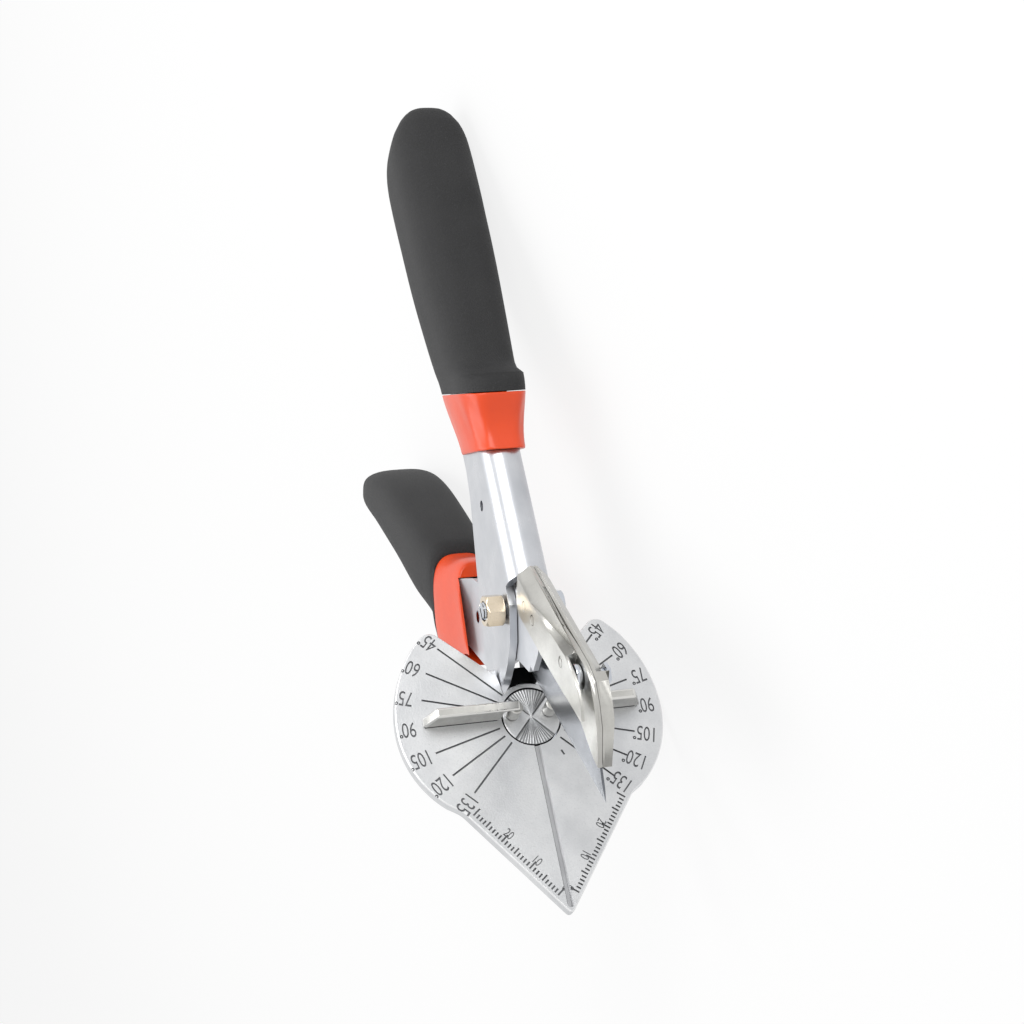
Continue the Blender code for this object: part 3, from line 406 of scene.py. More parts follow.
    def worked(self, other: "Form", work: Work) -> "Form":
        """Cuts this shape with another, joins them or keeps what they share.

        Args:
            other: The shape that acts on this one.
            work: What it does.

        Returns:
            The same shape, changed.
        """
        pair = [linked(name, mesh_of(name, form.bm)) for form, name in ((self, "worked"), (other, "worker"))]
        modifier = pair[0].modifiers.new("work", "BOOLEAN")
        modifier.operation = work.value
        modifier.object = pair[1]
        modifier.solver = "EXACT"
        result = bpy.data.meshes.new_from_object(pair[0].evaluated_get(bpy.context.evaluated_depsgraph_get()))
        self.bm = bmesh.new()
        self.bm.from_mesh(result)
        bpy.data.meshes.remove(result)
        for obj in pair:
            mesh = obj.data
            bpy.data.objects.remove(obj)
            bpy.data.meshes.remove(mesh)
        return self


def ring_points(radius: float, steps: int, centre: Pair = (0, 0)) -> list[Pair]:
    """Points of a circle.

    Args:
        radius: Its radius.
        steps: How many points it has.
        centre: Its middle.

    Returns:
        The points, in order.
    """
    turns = [math.tau * step / steps for step in range(steps)]
    return [(centre[0] + radius * math.cos(turn), centre[1] + radius * math.sin(turn)) for turn in turns]


def rounded(corners: Sequence[tuple[float, float, float]], steps: int = 7) -> list[Pair]:
    """Fillets the corners of an outline.

    Args:
        corners: Each corner's two coordinates and its radius.
        steps: How many steps a fillet has.

    Returns:
        The outline's points.
    """
    points: list[Pair] = []
    for index, (x, y, radius) in enumerate(corners):
        if radius == 0:
            points.append((x, y))
            continue
        here = Vector((x, y))
        before = (Vector(corners[index - 1][:2]) - here).normalized()
        after = (Vector(corners[(index + 1) % len(corners)][:2]) - here).normalized()
        half = before.angle(after) / 2
        centre = here + (before + after).normalized() * radius / math.sin(half)
        start = here + before * radius / math.tan(half) - centre
        side = math.copysign(1, start.x * (after.y - before.y) - start.y * (after.x - before.x))
        for step in range(steps + 1):
            spoke = start.copy()
            spoke.rotate(Matrix.Rotation(side * (math.pi - 2 * half) * step / steps, 2))
            points.append(tuple(centre + spoke))
    return points


def mirrored(half: Sequence[tuple]) -> list[tuple]:
    """Closes an outline from its right half."""
    return list(half) + [(-spot[0], *spot[1:]) for spot in reversed(half) if spot[0] > 0.01]


def bar(start: Vector, end: Vector, width: float, low: float, high: float) -> Form:
    """A straight bar between two points of the plate's top.

    Args:
        start: Its first end.
        end: Its last end.
        width: Its width.
        low: Its lower side.
        high: Its upper side.

    Returns:
        The bar.
    """
    side = (end - start).normalized()
    side = Vector((-side.y, side.x)) * width / 2
    corners = [tuple(spot) for spot in (start - side, end - side, end + side, start + side)]
    return Form.prism(corners, Axis.Z, low, high)


class Wire:
    """A socket in a finish, on which Python's arithmetic adds Math nodes."""

    def __init__(self, sheet: "FinishSheet", socket: bpy.types.NodeSocket) -> None:
        """Wraps a socket of a sheet."""
        self.sheet = sheet
        self.socket = socket

    def _math(self, operation: str, first: "Value", second: "Value", clamp: bool = False) -> "Wire":
        """Adds one Math node and gives its result."""
        settings = {"operation": operation, "use_clamp": clamp}
        return self.sheet.node("ShaderNodeMath", settings, {0: first, 1: second})

    def __add__(self, other: "Value") -> "Wire":
        """Adds."""
        return self._math("ADD", self, other)

    __radd__ = __add__

    def __sub__(self, other: "Value") -> "Wire":
        """Takes away."""
        return self._math("SUBTRACT", self, other)

    def __rsub__(self, other: "Value") -> "Wire":
        """Is taken away from a number."""
        return self._math("SUBTRACT", other, self)

    def __mul__(self, other: "Value") -> "Wire":
        """Multiplies."""
        return self._math("MULTIPLY", self, other)

    __rmul__ = __mul__

    def above(self, floor: float, steepness: float) -> "Wire":
        """A mask that rises from 0 where the value passes a floor."""
        return self._math("MULTIPLY", self - floor, steepness, clamp=True)


Value = Union[Wire, float, int, Sequence[float]]


class FinishSheet:
    """One material's nodes, whose patterns are laid out in the tool's own frame in millimetres."""

    def __init__(self, name: str, place: Matrix) -> None:
        """Starts a material for pieces that are drawn in one frame.

        Args:
            name: The material's name.
            place: The matrix from the drawing frame to the row frame.
        """
        self.material = bpy.data.materials.new(name)
        self.material.use_nodes = True
        self.tree = self.material.node_tree
        self.shader = self.tree.nodes["Principled BSDF"]
        location, turn, scale = place.decompose()
        coordinates = self.node("ShaderNodeTexCoord", output="Object")
        self.at = self.node(
            "ShaderNodeMapping",
            {"vector_type": "TEXTURE"},
            {"Vector": coordinates, "Location": location, "Rotation": turn.to_euler("XYZ"), "Scale": scale},
        )

    def node(
        self,
        kind: str,
        settings: Optional[dict] = None,
        sockets: Optional[dict] = None,
        output: Union[int, str] = 0,
    ) -> Wire:
        """Adds any node.

        Args:
            kind: The node's type.
            settings: Its own settings.
            sockets: Values or wires for its inputs, by name or number.
            output: The output that is given back.

        Returns:
            The wire of that output.
        """
        made = self.tree.nodes.new(kind)
        for key, value in (settings or {}).items():
            setattr(made, key, value)
        for key, value in (sockets or {}).items():
            self.feed(made.inputs[key], value)
        return Wire(self, made.outputs[output])

    def feed(self, target: bpy.types.NodeSocket, value: Value) -> None:
        """Links a wire to a socket, or sets its value.

        Args:
            target: The socket.
            value: The wire or the value.
        """
        if isinstance(value, Wire):
            self.tree.links.new(value.socket, target)
        else:
            target.default_value = value

    def stretched(self, across: float, along: float, up: float) -> Wire:
        """The place on the piece with each axis multiplied by its own number."""
        factors = (across, along, up)
        return self.node("ShaderNodeVectorMath", {"operation": "MULTIPLY"}, {0: self.at, 1: factors})

    def noise(
        self, scale: float, detail: float = 3.0, place: Optional[Wire] = None, rough: float = 0.55
    ) -> Wire:
        """A noise pattern from 0 to 1.

        Args:
            scale: Features per millimetre.
            detail: How many finer layers it has.
            place: The place that it reads.
            rough: How strong the finer layers are.

        Returns:
            Its value.
        """
        sockets = {"Vector": place or self.at, "Scale": scale, "Detail": detail, "Roughness": rough}
        return self.node("ShaderNodeTexNoise", {}, sockets)

    def blend(self, share: Value, first: Value, second: Value) -> Wire:
        """Mixes two colours."""
        return self.node("ShaderNodeMix", {"data_type": "RGBA"}, {0: share, 6: first, 7: second}, output=2)

    def mark(self, name: str) -> Wire:
        """The share of wear or of painted shade that the mesh carries."""
        return self.node("ShaderNodeAttribute", {"attribute_name": name}, output="Fac")

    def relief(self, height: Wire, distance: float) -> None:
        """Sets the surface's relief, with the distance in millimetres."""
        sockets = {"Height": height, "Distance": distance * MILLIMETRE, "Strength": 1.0}
        self.feed(self.shader.inputs["Normal"], self.node("ShaderNodeBump", {}, sockets))

    def set(self, **values: Value) -> None:
        """Sets the shader's sockets, with spaces in their names written as underscores."""
        for name, value in values.items():
            self.feed(self.shader.inputs[name.replace("_", " ")], value)


@dataclass(frozen=True)
class Finish:
    """What every finish has: a slot, three tones and a roughness."""

    slot: str
    colour: Colour
    shade: Colour
    bright: Colour
    roughness: float

    def apply(self, sheet: FinishSheet) -> None:
        """Adds the finish's nodes, as each kind of finish says."""
        raise NotImplementedError

    def material(self, name: str, place: Matrix) -> bpy.types.Material:
        """Makes the material.

        Args:
            name: The material's name.
            place: The matrix of the frame in which its pieces are drawn.

        Returns:
            The material.
        """
        sheet = FinishSheet(name, place)
        self.apply(sheet)
        return sheet.material


@dataclass(frozen=True)
class MetalFinish(Finish):
    """Plated, ground or cast metal with its grain, clouding, pits, bright worn edges and painted shade where
    the mesh marks it.
    """

    spread: float
    grain: tuple[float, float, float]
    grain_depth: float
    cloud: float = 0.08
    cloud_share: float = 0.8
    pits: float = 0.0
    pit_scale: float = 2.2
    # The dark colour of the painted shade in gaps, hollows and inner faces.
    grime: Colour = tone(40, 41, 43)
    metallic: float = 1.0
    cloud_rise: Pair = (0.38, 2.6)
    grain_rise: Pair = (0.5, 1.6)
    grain_share: float = 0.5
    pit_rise: Pair = (0.62, 9.0)
    wear_share: Pair = (0.35, 0.5)
    # Extra roughness where shade is painted.
    grime_dulls: float = 0.3
    wear_polishes: float = 0.06
    pit_height: float = 2.0
    cloud_height: float = 0.6

    def apply(self, sheet: FinishSheet) -> None:
        """Adds the finish's nodes.

        Args:
            sheet: The material's sheet.
        """
        cloud = sheet.noise(self.cloud, detail=4.0)
        grain = sheet.noise(1.0, 4.0, sheet.stretched(*self.grain))
        pit = sheet.noise(self.pit_scale, detail=2.0)
        wear, grime = sheet.mark("wear"), sheet.mark("grime")
        least, most = self.wear_share
        body = sheet.blend(cloud.above(*self.cloud_rise) * self.cloud_share, self.colour, self.shade)
        body = sheet.blend(grain.above(*self.grain_rise) * self.grain_share, body, self.shade)
        body = sheet.blend(pit.above(*self.pit_rise) * self.pits, body, self.shade)
        body = sheet.blend(wear * (least + cloud * most), body, self.bright)
        # Painted shade: darkens the faces that the mesh marks as lying in shade.
        body = sheet.blend(grime, body, self.grime)
        rough = (grain - MIDDLE) * self.spread + (cloud - MIDDLE) * self.spread + self.roughness
        rough = rough + grime * self.grime_dulls - wear * self.wear_polishes
        sheet.set(Base_Color=body, Metallic=self.metallic, Roughness=rough)
        height = grain + pit * (self.pits * self.pit_height) + cloud * self.cloud_height
        sheet.relief(height, self.grain_depth)


@dataclass(frozen=True)
class MouldedFinish(Finish):
    """Glossy moulded plastic with faint clouding, a soft skin and fine rub marks."""

    coat: float
    cloud: float = 0.12
    rub: tuple[float, float, float] = (2.5, 0.35, 2.5)
    skin: float = 1.6
    cloud_rise: Pair = (0.35, 2.0)
    cloud_share: float = 0.5
    wear_share: float = 0.4
    rub_spread: float = 0.12
    coat_spread: float = 0.2
    coat_roughness: float = 0.12
    index: float = 1.5
    skin_height: float = 0.6
    depth: float = 0.03

    def apply(self, sheet: FinishSheet) -> None:
        """Adds the finish's nodes.

        Args:
            sheet: The material's sheet.
        """
        cloud = sheet.noise(self.cloud, detail=3.0)
        rub = sheet.noise(1.0, 3.0, sheet.stretched(*self.rub))
        skin = sheet.noise(self.skin, detail=2.0)
        body = sheet.blend(cloud.above(*self.cloud_rise) * self.cloud_share, self.colour, self.shade)
        body = sheet.blend(sheet.mark("wear") * self.wear_share, body, self.bright)
        sheet.set(
            Base_Color=body,
            Roughness=(rub - MIDDLE) * self.rub_spread + self.roughness,
            Coat_Weight=(cloud - MIDDLE) * self.coat_spread + self.coat,
            Coat_Roughness=self.coat_roughness,
            IOR=self.index,
        )
        sheet.relief(skin * self.skin_height + cloud, self.depth)


@dataclass(frozen=True)
class SoftFinish(Finish):
    """Matte soft grip with a fine leathery grain and faint dust."""

    cloud: float = 0.07
    grain: float = 2.2
    grain_rough: float = 0.7
    cells: float = 2.4
    cloud_rise: Pair = (0.3, 2.2)
    cloud_share: float = 0.8
    dust_rise: Pair = (0.52, 5.0)
    dust_share: float = 0.55
    spread: float = 0.2
    index: float = 1.45
    heights: Pair = (0.7, 0.6)
    depth: float = 0.14

    def apply(self, sheet: FinishSheet) -> None:
        """Adds the finish's nodes.

        Args:
            sheet: The material's sheet.
        """
        cloud = sheet.noise(self.cloud, detail=4.0)
        grain = sheet.noise(self.grain, 3.0, rough=self.grain_rough)
        sockets = {"Vector": sheet.at, "Scale": self.cells, "Randomness": 1.0}
        cells = sheet.node("ShaderNodeTexVoronoi", {"feature": "F1"}, sockets)
        body = sheet.blend(cloud.above(*self.cloud_rise) * self.cloud_share, self.colour, self.shade)
        body = sheet.blend(grain.above(*self.dust_rise) * self.dust_share, body, self.bright)
        sheet.set(Base_Color=body, Roughness=(grain - MIDDLE) * self.spread + self.roughness, IOR=self.index)
        sheet.relief(grain * self.heights[0] + cells * self.heights[1], self.depth)


PLATED = MetalFinish(
    "plated_steel", tone(204, 206, 210), tone(184, 187, 192), tone(232, 234, 236),
    roughness=0.3, spread=0.12, grain=(3.0, 0.06, 3.0), grain_depth=0.012
)
SATIN = replace(PLATED, roughness=0.46, metallic=0.35)
CHROME = MetalFinish(
    "plated_steel", tone(206, 210, 216), tone(170, 175, 184), tone(240, 241, 243),
    roughness=0.13, spread=0.1, grain=(1.4, 1.4, 1.4), grain_depth=0.01
)
NICKEL = MetalFinish(
    "nickel", tone(226, 212, 190), tone(186, 170, 146), tone(246, 236, 220),
    roughness=0.2, spread=0.14, grain=(1.5, 1.5, 1.5), grain_depth=0.02
)
CAST_PLATE = MetalFinish(
    "cast_plate", tone(216, 217, 218), tone(176, 178, 181), tone(242, 242, 242),
    roughness=0.38, spread=0.14, grain=(1.6, 1.6, 1.6), grain_depth=0.04,
    cloud=0.06, cloud_share=0.7, pits=0.45
)
# The engraved lines and numbers: a darker colour that paints the shade in their recesses.
SHADED_ENGRAVING = MetalFinish(
    "cast_plate", tone(118, 119, 121), tone(84, 85, 87), tone(150, 151, 152),
    roughness=0.55, spread=0.1, grain=(2.0, 2.0, 2.0), grain_depth=0.03
)
GROOVE = MetalFinish(
    "cast_plate", tone(178, 179, 181), tone(150, 151, 153), tone(216, 217, 218),
    roughness=0.42, spread=0.12, grain=(1.6, 0.4, 1.6), grain_depth=0.02
)
OXIDE = MetalFinish(
    "plated_steel", tone(40, 41, 43), tone(30, 31, 32), tone(66, 67, 70),
    roughness=0.55, spread=0.12, grain=(1.2, 1.2, 1.2), grain_depth=0.02
)
CAST_FENCE = MetalFinish(
    "cast_fence", tone(208, 207, 203), tone(172, 171, 167), tone(232, 231, 228),
    roughness=0.36, spread=0.14, grain=(0.8, 0.8, 0.8), grain_depth=0.04,
    cloud=0.1, cloud_share=0.8, pits=0.3
)
CAST_HOLDER = MetalFinish(
    "cast_holder", tone(196, 195, 190), tone(162, 161, 157), tone(238, 237, 233),
    roughness=0.33, spread=0.14, grain=(0.9, 0.9, 0.9), grain_depth=0.03,
    cloud=0.08, cloud_share=0.7, pits=0.3
)
BLADE_STEEL = MetalFinish(
    "blade_steel", tone(132, 135, 140), tone(100, 103, 108), tone(200, 202, 205),
    roughness=0.24, spread=0.12, grain=(0.2, 3.2, 0.2), grain_depth=0.012
)
ORANGE = MouldedFinish("collar", tone(222, 68, 8), tone(206, 54, 4), tone(246, 120, 66), 0.36, 0.12)
GRIP = SoftFinish("grip", tone(30, 30, 31), tone(24, 24, 25), tone(58, 58, 60), 0.66)


class Workshop:
    """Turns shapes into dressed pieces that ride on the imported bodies."""

    def __init__(self, placing: Placing) -> None:
        """Starts with no materials made."""
        self.placing = placing
        self.made: dict[tuple[Finish, Body], bpy.types.Material] = {}

    def material(self, finish: Finish, body: Body) -> bpy.types.Material:
        """The material of a finish on one body, made once.

        Args:
            finish: The finish.
            body: The body that its pieces ride on.

        Returns:
            The material.
        """
        if (finish, body) not in self.made:
            name = f"{finish.slot}_{len(self.made)}_{body.value}"
            self.made[finish, body] = finish.material(name, self.placing.of(body))
        return self.made[finish, body]

    def add(
        self,
        name: str,
        form: Form,
        body: Body,
        finishes: Sequence[Finish],
        replaces: Sequence[str],
        sharp: float = 34.0,
    ) -> bpy.types.Object:
        """Places a shape, dresses it and lets it ride.

        Args:
            name: The piece's name.
            form: The finished shape.
            body: The body that it rides on.
            finishes: Its finishes, in the order of its face materials.
            replaces: The CAD nodes that it stands for.
            sharp: The turn between faces that stays a hard edge, in degrees.

        Returns:
            The piece.
        """
        form.bm.transform(self.placing.of(body))
        mesh = mesh_of(name, form.bm)
        for finish in finishes:
            mesh.materials.append(self.material(finish, body))
        mesh.shade_smooth()
        mesh.set_sharp_from_angle(angle=math.radians(sharp))
        piece = linked(name, mesh)
        piece.modifiers.new("flat_faces", "WEIGHTED_NORMAL").keep_sharp = True
        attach(piece, body.value)
        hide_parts(*replaces)
        LOG.info("%s: %d faces on %s", name, len(mesh.polygons), body.value)
        return piece

    def dress(self, body: Body, finish: Finish, *nodes: str) -> None:
        """Gives carried-over CAD nodes their finish.

        Args:
            body: The body that they ride on.
            finish: Their finish.
            nodes: The nodes' names.
        """
        material = self.material(finish, body)
        for node in nodes:
            target = frame["nodes"][node]
            if not target.material_slots:
                target.data.materials.append(None)
            for slot in target.material_slots:
                slot.material = material
            LOG.info("%s keeps its CAD shape", node)


@dataclass
class AnglePlate:
    """The cast heart-shaped plate with its angle lines, numbers, ruler edges and lugs."""

    thick: float = 3.5
    radius: float = 37.3
    fall_share: float = 0.10
    first_angle: float = -39.0
    last_angle: float = 49.5
    lobe_steps: int = 44
    lobe_corners: Pair = (3.0, 3.5)
    lobe_corner_steps: int = 6
    tip: float = 54.9
    tip_corner: float = 1.1
    waist: tuple[float, float, float] = (23.6, -24.3, 7.0)
    notch: Pair = (7.2, 12.7)
    ring: float = 9.8
    ring_angle: float = 50.0
    ring_steps: int = 12
    rim: tuple[float, float, int] = (0.4, 50, 3)
    angles: tuple[int, ...] = tuple(range(45, 136, 15))
    line_width: float = 0.5
    line_depth: float = 0.4
    line_start: float = 9.6
    line_ends: Pair = (31.5, 27.7)
    mark: tuple[Pair, Pair] = ((6.3, -10.4), (6.9, -11.8))
    label_places: dict[Side, tuple[float, ...]] = field(
        default_factory=lambda: {
            Side.LEFT: (34.2, 34.6, 34.6, 34.0, 33.2, 32.1, 31.4),
            Side.RIGHT: (33.4, 33.7, 34.0, 33.3, 32.4, 30.9, 29.9),
        }
    )
    label_size: float = 6.1
    label_narrow: float = 0.66
    label_depth: float = 0.28
    degree_radii: Pair = (0.5, 0.16)
    degree_place: tuple[float, float, float] = (1.08, 0.15, 1.85)
    numbers: tuple[int, ...] = (0, 10, 20)
    number_size: float = 3.6
    number_narrow: float = 0.7
    number_depth: float = 0.2
    number_reach: float = 2.9
    tick_start: Pair = (2.9, -49.5)
    tick_way: Pair = (0.605, 0.796)
    tick_pitch: float = 1.111
    tick_count: int = 28
    ticks_to_ten: int = 9
    half_tick: int = 5
    tick_lengths: tuple[float, float, float] = (1.35, 2.0, 2.6)
    tick_width: float = 0.46
    tick_depth: float = 0.3
    groove_half: float = 0.85
    groove_depth: float = 0.5
    groove_top: float = 0.6
    groove_start: float = -8.0
    groove_gap: float = 1.9
    groove_floor: Pair = (-0.72, 0.35)
    groove_end: tuple[Pair, ...] = ((1.0, 1.0), (0.3, 0.8), (0, 0.35))
    lug: tuple[Pair, ...] = ((9.5, -15.0), (16.0, -15.0), (16.0, -3.2), (9.5, -3.2))
    lug_sides: Pair = (6.2, 8.7)
    lug_edge: float = 0.5
    rod_places: tuple[Pair, Pair] = ((13.075, -6.49), (13.075, -12.01))
    rod_radius: float = 1.9
    hole: float = 8.4
    seat: float = 9.2
    seat_top: float = -1.9
    reach: float = 14.0
    engraved: Pair = (-0.6, -0.004)
    level: float = 0.001
    land: float = 8.6

    def outline(self) -> list[Pair]:
        """The plate's outline, with its notch at the back.

        Returns:
            The outline's points.
        """
        half: list[tuple[float, float, float]] = [(0, -self.tip, self.tip_corner), self.waist]
        steps = self.lobe_steps
        for step in range(steps + 1):
            angle = math.radians(self.first_angle + (self.last_angle - self.first_angle) * step / steps)
            if steps - self.lobe_corner_steps < step < steps:
                continue
            fall = min(0.0, angle / math.radians(self.last_angle)) ** 2
            radius = self.radius * (1 - self.fall_share * fall)
            corner = {0: self.lobe_corners[0], steps: self.lobe_corners[1]}.get(step, 0)
            half.append((radius * math.cos(angle), radius * math.sin(angle), corner))
        half.append((*self.notch, 0))
        for step in range(self.ring_steps + 1):
            angle = math.radians(self.ring_angle + (90 - self.ring_angle) * step / self.ring_steps)
            half.append((self.ring * math.cos(angle), self.ring * math.sin(angle), 0))
        return rounded(mirrored(half))

    def ray(self, side: Side, degrees: int) -> Vector:
        """The way of one angle line out from the turntable."""
        angle = math.radians(degrees)
        return Vector((side.value * math.sin(angle), math.cos(angle)))

    def lines(self) -> Form:
        """The angle lines on both lobes and the small mark beside the turntable.

        Returns:
            The cutter.
        """
        start, end = (Vector(place) for place in self.mark)
        cuts = [bar(start, end, self.line_width, -self.tick_depth, OVER)]
        first, last = self.line_ends
        for side in Side:
            for index, degrees in enumerate(self.angles):
                ray = self.ray(side, degrees)
                reach = first + (last - first) * index / (len(self.angles) - 1)
                cuts.append(bar(ray * self.line_start, ray * reach, self.line_width, -self.line_depth, OVER))
        return cuts[0].joined(*cuts[1:])

    def labels(self) -> Form:
        """The angle numbers at the ends of the lines and the ruler numbers.

        Returns:
            The cutter.
        """
        cuts = []
        for side in Side:
            for degrees, reach in zip(self.angles, self.label_places[side]):
                ray = self.ray(side, degrees)
                ahead = ray * -side.value
                words = self.angle_number(str(degrees))
                place = Matrix.Translation((ray * reach).to_3d())
                cuts.append(words.moved(place @ Matrix.Rotation(math.atan2(ahead.y, ahead.x), 4, "Z")))
            turn = math.atan2(self.tick_way[1] * side.value, self.tick_way[0])
            turn += math.pi if side is Side.RIGHT else 0
            for number in self.numbers:
                foot = self.tick_base(side, number * self.ticks_to_ten / 10)
                spot = foot + self.inward(side) * self.number_reach
                words = Form.lettering(str(number), self.number_size, self.number_narrow, self.number_depth)
                cuts.append(words.moved(Matrix.Translation(spot.to_3d()) @ Matrix.Rotation(turn, 4, "Z")))
        return cuts[0].joined(*cuts[1:])

    def angle_number(self, digits: str) -> Form:
        """One angle number with its degree ring.

        Args:
            digits: The number.

        Returns:
            The number and its ring as one cutter.
        """
        words = Form.lettering(digits, self.label_size, self.label_narrow, self.label_depth)
        outer, inner = self.degree_radii
        ring = Form.prism(ring_points(outer, 16), Axis.Z, -self.label_depth, self.label_depth)
        ring.worked(Form.prism(ring_points(inner, 12), Axis.Z, -OVER, OVER), Work.TAKE)
        pitch, gap, rise = self.degree_place
        return words.joined(ring.moved(Matrix.Translation((len(digits) * pitch + gap, rise, 0))))

    def tick_base(self, side: Side, count: float) -> Vector:
        """The foot of a ruler tick on one side."""
        way = Vector(self.tick_way) * self.tick_pitch * count
        return Vector((side.value * (self.tick_start[0] + way.x), self.tick_start[1] + way.y))

    def inward(self, side: Side) -> Vector:
        """The way from the ruler edge into the plate."""
        return Vector((-side.value * self.tick_way[1], self.tick_way[0])).normalized()

    def ticks(self) -> Form:
        """The ruler ticks of both edges.

        Returns:
            The cutter.
        """
        short, middle, long = self.tick_lengths
        cuts = []
        for side in Side:
            for count in range(self.tick_count):
                length = {0: long, self.half_tick: middle}.get(count % self.ticks_to_ten, short)
                foot = self.tick_base(side, count)
                head = foot + self.inward(side) * length
                cuts.append(bar(foot, head, self.tick_width, -self.tick_depth, OVER))
        return cuts[0].joined(*cuts[1:])

    def groove(self) -> Form:
        """The centre groove as a shallow trough with a rounded front end.

        Returns:
            The cutter.
        """
        rings = []
        last = -self.tip + self.groove_gap
        ends = [(last + ahead, share) for ahead, share in self.groove_end]
        for place, share in [(self.groove_start, 1.0), *ends]:
            half, deep, top = self.groove_half * share, -self.groove_depth, self.groove_top
            left, right = (half * part for part in self.groove_floor)
            profile = ((-half, top), (-half, 0), (left, deep), (right, deep), (half, 0), (half, top))
            rings.append([Vector((x, place, z)) for x, z in profile])
        return Form.lofted(rings)

    def finish_of(self, face: bmesh.types.BMFace, worn: bool) -> int:
        """Which of the plate's finishes a face has.

        Args:
            face: The face.
            worn: Whether it lies on the plate's rounded rim.

        Returns:
            0 for the casting, 1 for an engraved cut with its painted shade and 2 for the groove.
        """
        middle = face.calc_center_median()
        heights = [vert.co.z for vert in face.verts]
        deepest, shallowest = self.engraved
        sunk = middle.z < shallowest and max(heights) < self.level and min(heights) > deepest
        if worn or not sunk or middle.to_2d().length <= self.land:
            return 0
        groove = abs(middle.x) < self.groove_half and middle.y < -self.land
        return 2 if groove and face.normal.x < 0.5 else 1

    def build(self, shop: Workshop) -> None:
        """Cuts the plate, marks the engraved faces for their painted shade and paints shade on the walls
        round the turntable.

        Args:
            shop: Where pieces are made.
        """
        plate = Form.prism(self.outline(), Axis.Z, -self.thick, 0).softened(*self.rim)
        for side in Side:
            lug = Form.prism(self.lug, Axis.X, *sorted(side.value * x for x in self.lug_sides))
            plate.worked(lug.softened(self.lug_edge, 50, 2), Work.JOIN)
        plate.worked(Form.prism(ring_points(self.hole, 96), Axis.Z, -self.reach, self.reach), Work.TAKE)
        plate.worked(Form.prism(ring_points(self.seat, 64), Axis.Z, -self.reach, self.seat_top), Work.TAKE)
        rods = [
            Form.prism(ring_points(self.rod_radius, 24, place), Axis.X, -self.reach, self.reach)
            for place in self.rod_places
        ]
        plate.worked(rods[0].joined(rods[1]), Work.TAKE)
        for cutter in (self.lines(), self.groove(), self.ticks(), self.labels()):
            plate.worked(cutter, Work.TAKE)
        wear = plate.bm.loops.layers.float["wear"]
        for face in plate.bm.faces:
            face.material_index = self.finish_of(face, all(loop[wear] > 0.5 for loop in face.loops))
        # Shade is painted on the upright walls of the hole and seat round the turntable, in the gap.
        wall = self.seat + 0.1
        plate.soiled(lambda spot, way: 1.0 if abs(way.z) < 0.5 and spot.to_2d().length < wall else 0.0)
        shop.add("angle_plate", plate, Body.FRAME, [CAST_PLATE, SHADED_ENGRAVING, GROOVE], ["base_plate"])


